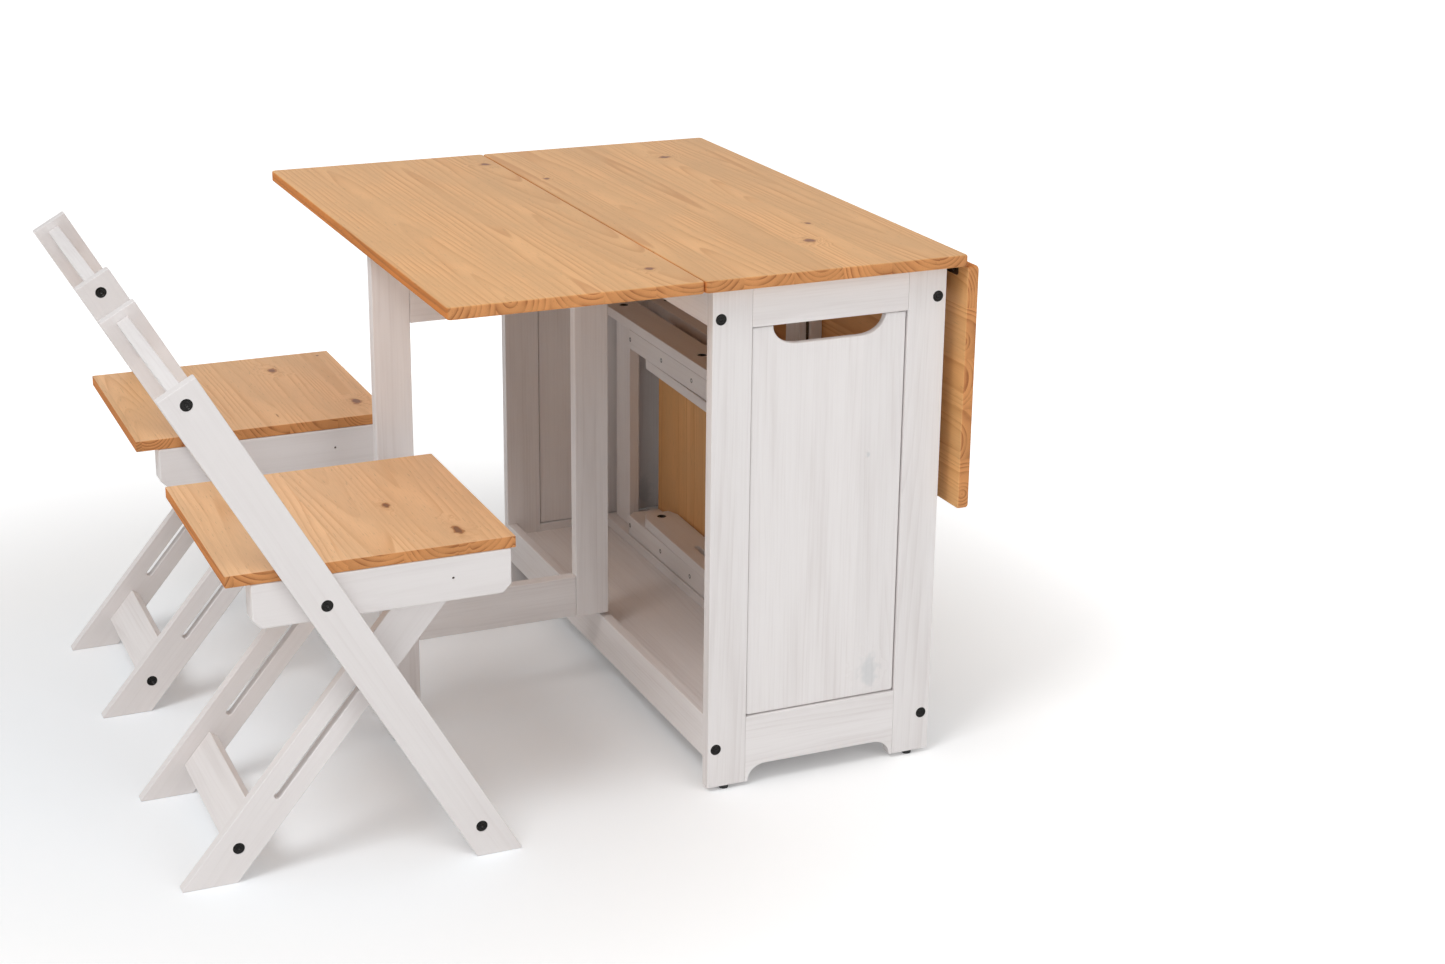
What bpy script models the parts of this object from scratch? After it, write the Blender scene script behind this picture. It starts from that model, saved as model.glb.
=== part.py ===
"""Folding dining set: a gateleg table on two panelled ends, two folding chairs drawn up to its raised
leaf, and two more chairs stored, folded, inside the table.

Metres. X runs across the table, with the raised leaf and the open chairs at -X and the hanging leaf at
+X. Y runs along the hinge lines and Z up. The floor is z = 0. Places are given from the middle of the
table's foot, and an empty that everything is parented to puts the whole set's middle at the origin.

A chair has its own frame: X forward, Y to the sitter's left, Z up, with the seat's pivot line over
its origin. An open chair and a folded one come from the same sizes.
"""

import math

import bmesh
import bpy
from mathutils import Matrix, Vector

# Clearances
GAP = 0.0003  # between pieces that touch
RUN = 0.0003  # round a pin, in its hole
LEAF_GAP = 0.0010  # between the top's edge and a leaf's
GATE_GAP = 0.0005  # between a closed gate and the side rails
SEAT_SIDE_GAP = 0.0012  # between a seat's edge and a post
STORED_GAP = 0.0006  # between one stored chair and the next
OVERRUN = 0.002  # of a cut past the face that it opens
SINK = 0.001  # of one joined shape in the next

# Table top
TABLE_HEIGHT = 0.760
TOP_THICKNESS = 0.017
TOP_WIDTH = 0.398
TOP_PAST_END = 0.0235  # of the top past an end's outer face
LEAF_WIDTH = 0.3565
TOP_ROUND = 0.003

# Panelled ends
END_WIDTH = 0.356
STILE_WIDTH = 0.0587
STILE_THICKNESS = 0.018
TOP_RAIL_HEIGHT = 0.060
PANEL_THICKNESS = 0.012
PANEL_INSET = 0.003
PANEL_LOW = 0.1077
ARCH_HEIGHT = 0.031
ARCH_FLAT = 0.174
HAND_HOLE_DEPTH = 0.028
HAND_HOLE_WIDTH = 0.172
HAND_HOLE_FLAT = 0.0974
GLIDE_HEIGHT = 0.0065
GLIDE_RADIUS = 0.007

# Sides and storage floor
SIDE_RAIL_THICKNESS = 0.016
SIDE_TOP_RAIL_HEIGHT = 0.056
SIDE_BOTTOM_RAIL_LOW = 0.050
SIDE_BOTTOM_RAIL_HEIGHT = 0.0648
FLOOR_TOP = 0.095
FLOOR_THICKNESS = 0.016

# Gates, which both close towards +Y
GATE_PIVOT_Y = -0.009
GATE_THICKNESS = 0.0195
GATE_END_GAP = 0.0705  # from a closed gate's leg to the end
GATE_PAST_PIVOT = 0.0105
GATE_STILE_WIDTH = 0.0535
GATE_LEG_WIDTH = 0.056
GATE_FOOT = 0.121
GATE_HEAD_DROP = 0.0005  # of the gate's stile under the side's top rail
GATE_TOP_RAIL_HEIGHT = 0.060
GATE_TOP_RAIL_DROP = 0.061  # under the top's underside
GATE_BOTTOM_RAIL_LOW = 0.1227
GATE_BOTTOM_RAIL_HEIGHT = 0.0653
GATE_POST_WIDTH = 0.049
GATE_POST_THICKNESS = 0.014

# Hinges
BARREL_RADIUS = 0.0032
WING_THICKNESS = 0.0016
LEAF_WING = 0.018
LEAF_HINGE_LENGTH = 0.060
LEAF_HINGE_INSET = 0.0575  # of its middle from the top's end
GATE_WING = 0.026
GATE_HINGE_INSET = 0.046  # from each of the side's rails

# Chair frame: posts leaning back, crest slat and front stretcher
CHAIR_WIDTH = 0.400
POST_WIDTH = 0.056
POST_THICKNESS = 0.0165
POST_LEAN = math.radians(29.7)
PIVOT_HEIGHT = 0.3947  # of the seat's pivot over the floor
POST_ABOVE_PIVOT = 0.353
CREST_BOLT = 0.3297  # from the seat's pivot, up the post
SLAT_PAST_BOLT = 0.012  # of the crest and the rear stretcher
SLAT_WIDTH = 0.060
CREST_THICKNESS = 0.018
STRETCHER_RISE = 0.0445  # of its bolt over the floor
STRETCHER_WIDTH = 0.040
STRETCHER_THICKNESS = 0.016

# Chair seat and its aprons
SEAT_FRONT = 0.2605
SEAT_BACK = 0.1255
SEAT_TOP_RISE = 0.0518  # over the pivot
SEAT_THICKNESS = 0.016
SEAT_ROUND = 0.002
APRON_THICKNESS = 0.035
APRON_FRONT = 0.254
APRON_BACK = 0.093
APRON_DROP = 0.0262  # under the pivot
APRON_CHAMFER = 0.012

# Chair rear legs
LEG_PIVOT_FORWARD = 0.1737
LEG_PIVOT_RISE = 0.0057
LEG_THICKNESS = 0.0165
LEG_WIDTH = 0.059
LEG_CLIP_SHARE = math.sqrt(0.5)
LEG_BOLT_RISE = 0.0499  # over the floor
SLOT_START = 0.155
SLOT_PAST_BOLT = 0.0858  # from the slot's lower end to the leg's bolt
SLOT_WIDTH = 0.009
SLIDE_PIN = 0.1384  # from the seat's pivot, down the post
PIN_RADIUS = 0.004

# Where the chairs are
OPEN_CHAIR_X = -0.734
OPEN_CHAIR_Y = 0.288
STORED_CHAIR_X = 0.027
STORED_END_GAP = 0.0043  # between a stored chair and the table's ends

# Lines that more than one piece follows
TOP_UNDERSIDE = TABLE_HEIGHT - TOP_THICKNESS
POST_BELOW_PIVOT = PIVOT_HEIGHT / math.cos(POST_LEAN) + POST_WIDTH / 2 * math.tan(POST_LEAN)
HINGE_X = TOP_WIDTH / 2
END_SIDE = END_WIDTH / 2
END_INNER = (POST_ABOVE_PIVOT + POST_BELOW_PIVOT) / 2 + STORED_END_GAP  # room for a folded chair
END_FACE = END_INNER + STILE_THICKNESS
TOP_END = END_FACE + TOP_PAST_END
STILE_INNER = END_SIDE - STILE_WIDTH
PANEL_HIGH = TOP_UNDERSIDE - TOP_RAIL_HEIGHT
SIDE_RAIL_LOW = TOP_UNDERSIDE - SIDE_TOP_RAIL_HEIGHT
SIDE_BOTTOM_RAIL_HIGH = SIDE_BOTTOM_RAIL_LOW + SIDE_BOTTOM_RAIL_HEIGHT
GATE_PIVOT_X = END_SIDE + GATE_GAP
GATE_TOP_RAIL_LOW = TOP_UNDERSIDE - GATE_TOP_RAIL_DROP - GATE_TOP_RAIL_HEIGHT
GATE_REACH = END_INNER - GATE_END_GAP - GATE_PIVOT_Y  # from the pivot line to the leg's outer edge
STRETCHER_BOLT = (PIVOT_HEIGHT - STRETCHER_RISE) / math.cos(POST_LEAN)  # from the seat's pivot, down the post
POST_INNER = CHAIR_WIDTH / 2 - POST_THICKNESS
APRON_OUTER = POST_INNER - GAP
APRON_INNER = APRON_OUTER - APRON_THICKNESS
LEG_OUTER = APRON_INNER - GAP
LEG_INNER = LEG_OUTER - LEG_THICKNESS
SEAT_UNDERSIDE_RISE = SEAT_TOP_RISE - SEAT_THICKNESS
UP_POST = Vector((-math.sin(POST_LEAN), math.cos(POST_LEAN)))
ACROSS_POST = Vector((math.cos(POST_LEAN), math.sin(POST_LEAN)))

# Facets
ROUND_SIDES = 16
CURVE_STEPS = 6

COLOURS = {
    "white_pine": ((0.79, 0.76, 0.73, 1.0), 0.55, 0.0),
    "oiled_pine": ((0.65, 0.36, 0.17, 1.0), 0.45, 0.0),
    "dark_bronze": ((0.05, 0.04, 0.03, 1.0), 0.40, 1.0),
}


def empty_the_scene():
    for thing in list(bpy.data.objects):
        bpy.data.objects.remove(thing)


def new_collection(name):
    made = bpy.data.collections.new(name)
    bpy.context.scene.collection.children.link(made)
    return made


def material(node, finish):
    """A material of the node's own, in one of the set's three finishes."""
    colour, roughness, metallic = COLOURS[finish]
    made = bpy.data.materials.new(f"{node}_{finish}")
    made.use_nodes = True
    shader = made.node_tree.nodes["Principled BSDF"]
    shader.inputs["Base Color"].default_value = colour
    shader.inputs["Roughness"].default_value = roughness
    shader.inputs["Metallic"].default_value = metallic
    return made


def add_object(name, mesh, place=(0, 0, 0), parent=None, finish="white_pine"):
    made = bpy.data.objects.new(name, mesh)
    made.location = place
    made.parent = parent or ORIGIN
    if not mesh.materials:
        mesh.materials.append(material(name, finish))
    PARTS.objects.link(made)
    return made


def add_axis(name, place, turn=(0, 0, 0), parent=None):
    """An empty on a joint's axis, or at a chair's origin, that its pieces are parented to."""
    made = bpy.data.objects.new(name, None)
    made.location = place
    made.rotation_euler = turn
    made.parent = parent or ORIGIN
    PARTS.objects.link(made)
    return made


def mesh_from(build, name):
    made = bpy.data.meshes.new(name)
    build.to_mesh(made)
    build.free()
    return made


def board(name, low, high, parent=None, finish="white_pine", edge=0):
    """A straight board between two corners, with its origin at its middle and its edges rounded."""
    low, high = Vector(low), Vector(high)
    build = bmesh.new()
    bmesh.ops.create_cube(build, size=1)
    bmesh.ops.scale(build, vec=high - low, verts=build.verts)
    made = add_object(name, mesh_from(build, name), (low + high) / 2, parent, finish)
    if edge:
        rounding = made.modifiers.new("round_edges", "BEVEL")
        rounding.width = edge
        rounding.segments = 3
        made.data.shade_smooth()
        made.data.set_sharp_from_angle(angle=math.radians(40))
    return made


def rod(name, radius, start, end, parent=None, finish="dark_bronze"):
    """A round rod between two points."""
    start, end = Vector(start), Vector(end)
    build = bmesh.new()
    bmesh.ops.create_cone(
        build, cap_ends=True, segments=ROUND_SIDES, radius1=radius, radius2=radius, depth=(end - start).length
    )
    half_step = Matrix.Rotation(math.pi / ROUND_SIDES, 3, "Z")  # keeps corners off the planes through its axis
    turn = Vector((0, 0, 1)).rotation_difference(end - start).to_matrix()
    bmesh.ops.rotate(build, matrix=turn @ half_step, verts=build.verts)
    made = add_object(name, mesh_from(build, name), (start + end) / 2, parent, finish)
    made.data.shade_smooth()
    made.data.set_sharp_from_angle(angle=math.radians(40))
    return made


def plate(name, outlines, side_low, side_high, parent=None, finish="white_pine"):
    """A flat piece in the X-Z plane between two Y values: its outline first, then its holes.

    The filled curve is made a mesh, its caps welded on, and stood up from the curve's own plane.
    """
    curve = bpy.data.curves.new(name, "CURVE")
    curve.dimensions = "2D"
    curve.fill_mode = "BOTH"
    curve.extrude = (side_high - side_low) / 2
    for outline in outlines:
        spline = curve.splines.new("POLY")
        spline.points.add(len(outline) - 1)
        for point, (across, up) in zip(spline.points, outline):
            point.co = (across, up, 0, 1)
        spline.use_cyclic_u = True
    drawn = bpy.data.objects.new(name + "_outline", curve)
    drawn.location.y = (side_low + side_high) / 2
    drawn.parent = parent or ORIGIN
    PARTS.objects.link(drawn)
    seen = drawn.evaluated_get(bpy.context.evaluated_depsgraph_get())
    mesh = bpy.data.meshes.new_from_object(seen)
    mesh.name = name
    build = bmesh.new()
    build.from_mesh(mesh)
    bmesh.ops.remove_doubles(build, verts=build.verts, dist=GAP / 10)
    bmesh.ops.rotate(build, matrix=Matrix.Rotation(math.radians(90), 3, "X"), verts=build.verts)
    bmesh.ops.recalc_face_normals(build, faces=build.faces)
    build.to_mesh(mesh)
    build.free()
    made = add_object(name, mesh, parent=parent, finish=finish)
    made.matrix_world = drawn.matrix_world
    bpy.data.objects.remove(drawn)
    return made


def hide_as_cutter(thing):
    thing.hide_render = True
    thing.display_type = "WIRE"
    PARTS.objects.unlink(thing)
    CUTTERS.objects.link(thing)


def combine(target, operation, others):
    for other in others:
        change = target.modifiers.new(other.name, "BOOLEAN")
        change.operation = operation
        change.solver = "EXACT"
        change.object = other
        hide_as_cutter(other)


def cut(target, *cutters):
    combine(target, "DIFFERENCE", cutters)


def join(target, *others):
    combine(target, "UNION", others)


def circle(middle, radius):
    turns = [math.tau * k / ROUND_SIDES for k in range(ROUND_SIDES)]
    return [middle + radius * Vector((math.cos(t), math.sin(t))) for t in turns]


def quarter(start, end):
    """Points on a quarter of an ellipse from start to end, leaving start upright and reaching end level."""
    points = []
    for k in range(CURVE_STEPS + 1):
        t = math.pi / 2 * k / CURVE_STEPS
        points.append((end[0] + (start[0] - end[0]) * math.cos(t), start[1] + (end[1] - start[1]) * math.sin(t)))
    return points


def mirrored(points):
    return [(-x, z) for x, z in reversed(points)]


def table_top():
    edge = HINGE_X - LEAF_GAP / 2
    top = board(
        "centre_top", (-edge, -TOP_END, TOP_UNDERSIDE), (edge, TOP_END, TABLE_HEIGHT), finish="oiled_pine", edge=TOP_ROUND
    )
    for side, name, drop in ((-1, "left", 0), (1, "right", math.radians(90))):
        axis = add_axis(f"{name}_leaf_axis", (side * HINGE_X, 0, TOP_UNDERSIDE), (0, drop, 0))
        near = side * LEAF_GAP / 2
        far = side * (LEAF_GAP / 2 + LEAF_WIDTH)
        low = (min(near, far), -TOP_END, 0)
        high = (max(near, far), TOP_END, TOP_THICKNESS)
        leaf = board(f"{name}_leaf", low, high, axis, "oiled_pine", TOP_ROUND)
        for end, where in ((-1, "near"), (1, "far")):
            leaf_hinge(f"{name}_leaf_{where}_hinge", side, end, top, leaf, axis)


def leaf_hinge(name, side, end, top, leaf, axis):
    """The barrel of a leaf's hinge, with the wing that is screwed under the top, in a groove of both edges."""
    middle = end * (TOP_END - LEAF_HINGE_INSET)
    start, stop = middle - LEAF_HINGE_LENGTH / 2, middle + LEAF_HINGE_LENGTH / 2
    x, z = side * HINGE_X, TOP_UNDERSIDE
    barrel = rod(name, BARREL_RADIUS, (x, start, z), (x, stop, z))
    inner = side * (HINGE_X - LEAF_WING)
    low = (min(inner, x), start, z - GAP - WING_THICKNESS)
    high = (max(inner, x), stop, z - GAP)
    join(barrel, board(name + "_wing", low, high, finish="dark_bronze"))
    groove = BARREL_RADIUS + RUN
    cut(top, rod(name + "_top_groove", groove, (x, start - OVERRUN, z), (x, stop + OVERRUN, z)))
    ends = ((0, start - OVERRUN, 0), (0, stop + OVERRUN, 0))
    cut(leaf, rod(name + "_leaf_groove", groove, *ends, parent=axis))


def table_ends():
    for end, name in ((-1, "near"), (1, "far")):
        outer, inner = end * END_FACE, end * END_INNER
        faces = min(outer, inner), max(outer, inner)
        for side, hand in ((-1, "left"), (1, "right")):
            end_stile(f"{name}_end_{hand}_stile", side, faces)
        rail_half = STILE_INNER - GAP
        low = (-rail_half, faces[0], PANEL_HIGH)
        board(f"{name}_end_top_rail", low, (rail_half, faces[1], TOP_UNDERSIDE - GAP))
        plate(f"{name}_end_bottom_rail", [bottom_rail_outline(rail_half)], *faces)
        panel_outer = end * (END_FACE - PANEL_INSET)
        panel_inner = end * (END_FACE - PANEL_INSET - PANEL_THICKNESS)
        panel = min(panel_outer, panel_inner), max(panel_outer, panel_inner)
        plate(f"{name}_end_panel", [panel_outline(rail_half)], *panel)


def end_stile(name, side, faces):
    """An upright of an end, from the top down to its foot, with the black glide that it stands on."""
    edges = sorted((side * STILE_INNER, side * END_SIDE))
    stile = board(name, (edges[0], faces[0], GLIDE_HEIGHT), (edges[1], faces[1], TOP_UNDERSIDE - GAP))
    x, y = sum(edges) / 2, sum(faces) / 2
    join(stile, rod(name + "_glide", GLIDE_RADIUS, (x, y, 0), (x, y, GLIDE_HEIGHT + SINK)))


def bottom_rail_outline(half):
    """A rail whose underside rises from its feet, in a quarter curve at each end, to a long flat."""
    rise = quarter((half, GLIDE_HEIGHT), (ARCH_FLAT / 2, ARCH_HEIGHT))
    return [(half, PANEL_LOW - GAP), (-half, PANEL_LOW - GAP)] + mirrored(rise[::-1]) + rise[::-1]


def panel_outline(half):
    """A panel with a hand-hole let into its top edge, under the rail."""
    high = PANEL_HIGH - GAP
    dip = quarter((HAND_HOLE_WIDTH / 2, high), (HAND_HOLE_FLAT / 2, high - HAND_HOLE_DEPTH))
    return [(-half, high), (-half, PANEL_LOW), (half, PANEL_LOW), (half, high)] + dip + mirrored(dip)


def table_sides():
    half = END_INNER - GAP
    for side, name in ((-1, "left"), (1, "right")):
        outer, inner = side * END_SIDE, side * (END_SIDE - SIDE_RAIL_THICKNESS)
        near, far = min(outer, inner), max(outer, inner)
        board(f"{name}_side_top_rail", (near, -half, SIDE_RAIL_LOW), (far, half, TOP_UNDERSIDE - GAP))
        board(f"{name}_side_bottom_rail", (near, -half, SIDE_BOTTOM_RAIL_LOW), (far, half, SIDE_BOTTOM_RAIL_HIGH))
    floor_half = END_SIDE - SIDE_RAIL_THICKNESS - GAP
    board("storage_floor", (-floor_half, -half, FLOOR_TOP - FLOOR_THICKNESS), (floor_half, half, FLOOR_TOP))


def gate(side, name, turn):
    """A gate: a frame of two uprights and two rails that swings on a strip hinge at the side's middle.

    It reaches along its axis's own X, with its thickness on the side that faces away from the table
    when it is closed.
    """
    axis = add_axis(f"{name}_gate_axis", (side * GATE_PIVOT_X, GATE_PIVOT_Y, 0), (0, 0, turn))
    near, far = sorted((0, -side * GATE_THICKNESS))
    stile_end = GATE_STILE_WIDTH - GATE_PAST_PIVOT
    leg_start = GATE_REACH - GATE_LEG_WIDTH
    head = SIDE_RAIL_LOW - GATE_HEAD_DROP
    stile = board(f"{name}_gate_hinge_stile", (-GATE_PAST_PIVOT, near, GATE_FOOT), (stile_end, far, head), axis)
    board(f"{name}_gate_leg", (leg_start, near, 0), (GATE_REACH, far, TOP_UNDERSIDE - GAP), axis)
    rails = (
        ("top", GATE_TOP_RAIL_LOW, GATE_TOP_RAIL_HEIGHT),
        ("bottom", GATE_BOTTOM_RAIL_LOW, GATE_BOTTOM_RAIL_HEIGHT),
    )
    for level, low, height in rails:
        start, stop = (stile_end + GAP, near, low), (leg_start - GAP, far, low + height)
        board(f"{name}_gate_{level}_rail", start, stop, axis)
    post = gate_post(side, name)
    gate_hinge(side, name, post, stile, axis)


def gate_post(side, name):
    """The fixed upright between the side's rails that carries the gate and stops it when it is open."""
    outer, inner = side * END_SIDE, side * (END_SIDE - GATE_POST_THICKNESS)
    low = (min(outer, inner), GATE_PIVOT_Y + GAP, SIDE_BOTTOM_RAIL_HIGH + GAP)
    high = (max(outer, inner), GATE_PIVOT_Y + GAP + GATE_POST_WIDTH, SIDE_RAIL_LOW - GAP)
    return board(f"{name}_gate_post", low, high)


def gate_hinge(side, name, post, stile, axis):
    """A strip hinge: its barrel in a groove of post and stile, its fixed wing let into the post's face."""
    low, high = SIDE_BOTTOM_RAIL_HIGH + GATE_HINGE_INSET, SIDE_RAIL_LOW - GATE_HINGE_INSET
    x, y = side * GATE_PIVOT_X, GATE_PIVOT_Y
    barrel = rod(f"{name}_gate_hinge", BARREL_RADIUS, (x, y, low), (x, y, high))
    outer, inner = side * END_SIDE, side * (END_SIDE - WING_THICKNESS)
    wing_low = (min(outer, inner), y, low)
    wing_high = (max(outer, inner), y + GATE_WING, high)
    join(barrel, board(f"{name}_gate_hinge_wing", wing_low, wing_high, finish="dark_bronze"))
    groove = BARREL_RADIUS + RUN
    past = low - OVERRUN, high + OVERRUN
    recess_inner = side * (END_SIDE - WING_THICKNESS - GAP)
    recess_outer = side * (END_SIDE + OVERRUN)
    recess_low = (min(recess_inner, recess_outer), y - OVERRUN, past[0])
    recess_high = (max(recess_inner, recess_outer), y + GATE_WING + GAP, past[1])
    recess = board(f"{name}_gate_post_recess", recess_low, recess_high)
    cut(post, rod(f"{name}_gate_post_groove", groove, (x, y, past[0]), (x, y, past[1])), recess)
    cut(stile, rod(f"{name}_gate_stile_groove", groove, (0, 0, past[0]), (0, 0, past[1]), axis))


def leg_heading(seat_angle):
    """The rear legs' direction, in radians from the chair's X towards Z, when the seat has swung up so far.

    Each leg runs from its pivot in the seat's apron over the post's slide pin.
    """
    arm = Vector((LEG_PIVOT_FORWARD, LEG_PIVOT_RISE))
    turned = Matrix.Rotation(seat_angle, 2) @ arm
    run = -SLIDE_PIN * UP_POST - turned
    return math.atan2(run.y, run.x)


FOLDED = math.radians(90) + POST_LEAN  # the seat's swing until it lies along the posts
LEG_AT_REST = leg_heading(0)
DOWN_LEG = Vector((math.cos(LEG_AT_REST), math.sin(LEG_AT_REST)))
ACROSS_LEG = Vector((DOWN_LEG.y, -DOWN_LEG.x))  # towards the leg's upper, rear edge
LEG_BOLT = (PIVOT_HEIGHT + LEG_PIVOT_RISE - LEG_BOLT_RISE) / -DOWN_LEG.y  # from the leg's pivot
SLOT_END = LEG_BOLT - SLOT_PAST_BOLT
PIVOT = Vector((0, PIVOT_HEIGHT))
LEG_PIVOT = Vector((LEG_PIVOT_FORWARD, LEG_PIVOT_RISE))  # from the seat's pivot


def chair(name, frame_place, frame_turn, seat_angle, joined):
    """One chair. joined makes each of its three moving members one solid, as the stored chairs are."""
    slack = -SINK if joined else GAP
    frame = add_axis(name, frame_place, frame_turn)
    seat_axis = add_axis(name + "_seat_axis", (0, 0, PIVOT_HEIGHT), (0, -seat_angle, 0), frame)
    leg_turn = (leg_heading(seat_angle) - LEG_AT_REST) % math.tau - seat_angle
    leg_place = (LEG_PIVOT.x, 0, LEG_PIVOT.y)
    leg_axis = add_axis(name + "_leg_axis", leg_place, (0, -leg_turn, 0), seat_axis)
    members = (
        chair_frame(name, frame, slack),
        chair_seat(name, seat_axis, slack),
        chair_legs(name, leg_axis, slack),
    )
    if joined:
        for label, pieces in zip(("frame", "seat", "legs"), members):
            pieces[0].name = f"{name}_{label}"
            join(*pieces)


def slat(name, middle, along, width, thickness, half_length, parent):
    """A straight slat across the chair, its width along a given direction of the X-Z plane."""
    across = Vector((along.y, -along.x))
    corners = [middle + i * along * width / 2 + j * across * thickness / 2 for i, j in CORNER_SIGNS]
    return plate(name, [corners], -half_length, half_length, parent)


CORNER_SIGNS = ((-1, -1), (1, -1), (1, 1), (-1, 1))


def chair_frame(name, frame, slack):
    """The posts with their pins, the crest slat and the front stretcher."""
    pieces = []
    for side, hand in ((1, "left"), (-1, "right")):
        faces = sorted((side * CHAIR_WIDTH / 2, side * POST_INNER))
        post = plate(f"{name}_post_{hand}", [post_outline()], *faces, frame)
        middle = side * (POST_INNER + CHAIR_WIDTH / 2) / 2
        pin_end = side * (APRON_INNER + GAP)
        post_pin(post, f"{name}_seat_pin_{hand}", PIVOT, middle, pin_end, frame)
        post_pin(post, f"{name}_slide_pin_{hand}", PIVOT - SLIDE_PIN * UP_POST, middle, pin_end, frame)
        pieces.append(post)
    half = POST_INNER - slack
    crest = PIVOT + (CREST_BOLT + SLAT_PAST_BOLT - SLAT_WIDTH / 2) * UP_POST
    pieces.append(slat(f"{name}_crest_slat", crest, UP_POST, SLAT_WIDTH, CREST_THICKNESS, half, frame))
    foot = PIVOT - STRETCHER_BOLT * UP_POST
    size = STRETCHER_WIDTH, STRETCHER_THICKNESS
    pieces.append(slat(f"{name}_front_stretcher", foot, UP_POST, *size, half, frame))
    return pieces


def post_pin(post, name, place, start, end, parent):
    join(post, rod(name, PIN_RADIUS, (place.x, start, place.y), (place.x, end, place.y), parent))


def post_outline():
    """A leaning post, cut square at its top and level at the floor."""
    top = PIVOT + POST_ABOVE_PIVOT * UP_POST
    corners = []
    for edge in (-POST_WIDTH / 2, POST_WIDTH / 2):
        head = top + edge * ACROSS_POST
        foot = head - UP_POST * (head.y / UP_POST.y)
        corners.append((foot, head))
    return [corners[0][0], corners[1][0], corners[1][1], corners[0][1]]


def chair_seat(name, axis, slack):
    """The seat board and the apron under each of its sides, seen from the seat's pivot."""
    half = POST_INNER - SEAT_SIDE_GAP
    low = (-SEAT_BACK, -half, SEAT_UNDERSIDE_RISE)
    seat = board(f"{name}_seat", low, (SEAT_FRONT, half, SEAT_TOP_RISE), axis, "oiled_pine", SEAT_ROUND)
    pieces = [seat]
    for side, hand in ((1, "left"), (-1, "right")):
        faces = sorted((side * APRON_OUTER, side * APRON_INNER))
        outlines = [apron_outline(slack), circle(Vector((0, 0)), PIN_RADIUS + RUN)]
        apron = plate(f"{name}_apron_{hand}", outlines, *faces, axis)
        start, end = side * (APRON_INNER + APRON_OUTER) / 2, side * LEG_INNER
        join(apron, rod(f"{name}_leg_pin_{hand}", PIN_RADIUS, (LEG_PIVOT.x, start, LEG_PIVOT.y),
                        (LEG_PIVOT.x, end, LEG_PIVOT.y), axis))
        pieces.append(apron)
    return pieces


def apron_outline(slack):
    high, low = SEAT_UNDERSIDE_RISE - slack, -APRON_DROP
    return [
        (APRON_FRONT, high),
        (-APRON_BACK, high),
        (-APRON_BACK, low + APRON_CHAMFER),
        (APRON_CHAMFER - APRON_BACK, low),
        (APRON_FRONT - APRON_CHAMFER, low),
        (APRON_FRONT, low + APRON_CHAMFER),
    ]


def chair_legs(name, axis, slack):
    """The slotted rear legs and their stretcher, seen from the legs' pivot."""
    pieces = []
    for side, hand in ((1, "left"), (-1, "right")):
        faces = sorted((side * LEG_OUTER, side * LEG_INNER))
        outlines = [leg_outline(), circle(Vector((0, 0)), PIN_RADIUS + RUN), slot_outline()]
        pieces.append(plate(f"{name}_rear_leg_{hand}", outlines, *faces, axis))
    middle = (LEG_BOLT + SLAT_PAST_BOLT - SLAT_WIDTH / 2) * DOWN_LEG
    size = SLAT_WIDTH, STRETCHER_THICKNESS
    pieces.append(slat(f"{name}_rear_stretcher", middle, DOWN_LEG, *size, LEG_INNER - slack, axis))
    return pieces


def leg_outline():
    """A leg cut level at the floor, with its top end clipped to stay within its own half width."""
    half = LEG_WIDTH / 2
    clip = half * LEG_CLIP_SHARE
    floor = -(PIVOT_HEIGHT + LEG_PIVOT_RISE)
    rear, front = half * ACROSS_LEG, -half * ACROSS_LEG
    return [
        rear,
        rear + DOWN_LEG * ((floor - rear.y) / DOWN_LEG.y),
        front + DOWN_LEG * ((floor - front.y) / DOWN_LEG.y),
        front,
        -clip * ACROSS_LEG - clip * DOWN_LEG,
        clip * ACROSS_LEG - clip * DOWN_LEG,
    ]


def slot_outline():
    """The long slot that the post's slide pin runs along, round at both ends."""
    radius = SLOT_WIDTH / 2
    points = []
    for middle, heading in ((SLOT_START, -1), (SLOT_END, 1)):
        for k in range(CURVE_STEPS + 1):
            t = math.pi * (k / CURVE_STEPS - 1 / 2)
            out = heading * radius * math.cos(t)
            points.append((middle + out) * DOWN_LEG + heading * radius * math.sin(t) * ACROSS_LEG)
    return points


def open_chairs():
    for side, name in ((-1, "chair_near"), (1, "chair_far")):
        chair(name, (OPEN_CHAIR_X, side * OPEN_CHAIR_Y, 0), (0, 0, 0), 0, False)


def stored_chairs():
    """Folded chairs on their sides on the storage floor, back tops towards +Y and seats facing +X."""
    rear = (-math.cos(POST_LEAN), 0, -math.sin(POST_LEAN))
    up_post = (-math.sin(POST_LEAN), 0, math.cos(POST_LEAN))
    lay = Matrix((rear, up_post, (0, 1, 0)))
    pitch = SEAT_TOP_RISE + max(APRON_DROP, LEG_WIDTH / 2) + STORED_GAP
    height = FLOOR_TOP + GAP + CHAIR_WIDTH / 2
    for k, name in enumerate(("stored_chair_inner", "stored_chair_outer")):
        pivot = Vector((STORED_CHAIR_X + k * pitch, END_INNER - STORED_END_GAP - POST_ABOVE_PIVOT, height))
        place = pivot - lay @ Vector((0, 0, PIVOT_HEIGHT))
        chair(name, place, lay.to_euler(), FOLDED, True)


def set_middle():
    """The X of the middle of the whole set, from the open chairs' backs to the hanging leaf."""
    back_of_post = min(corner.x for corner in post_outline())
    back_of_leg = LEG_PIVOT.x + min(corner.x for corner in leg_outline())
    return (OPEN_CHAIR_X + min(back_of_post, back_of_leg) + HINGE_X + TOP_THICKNESS) / 2


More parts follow.
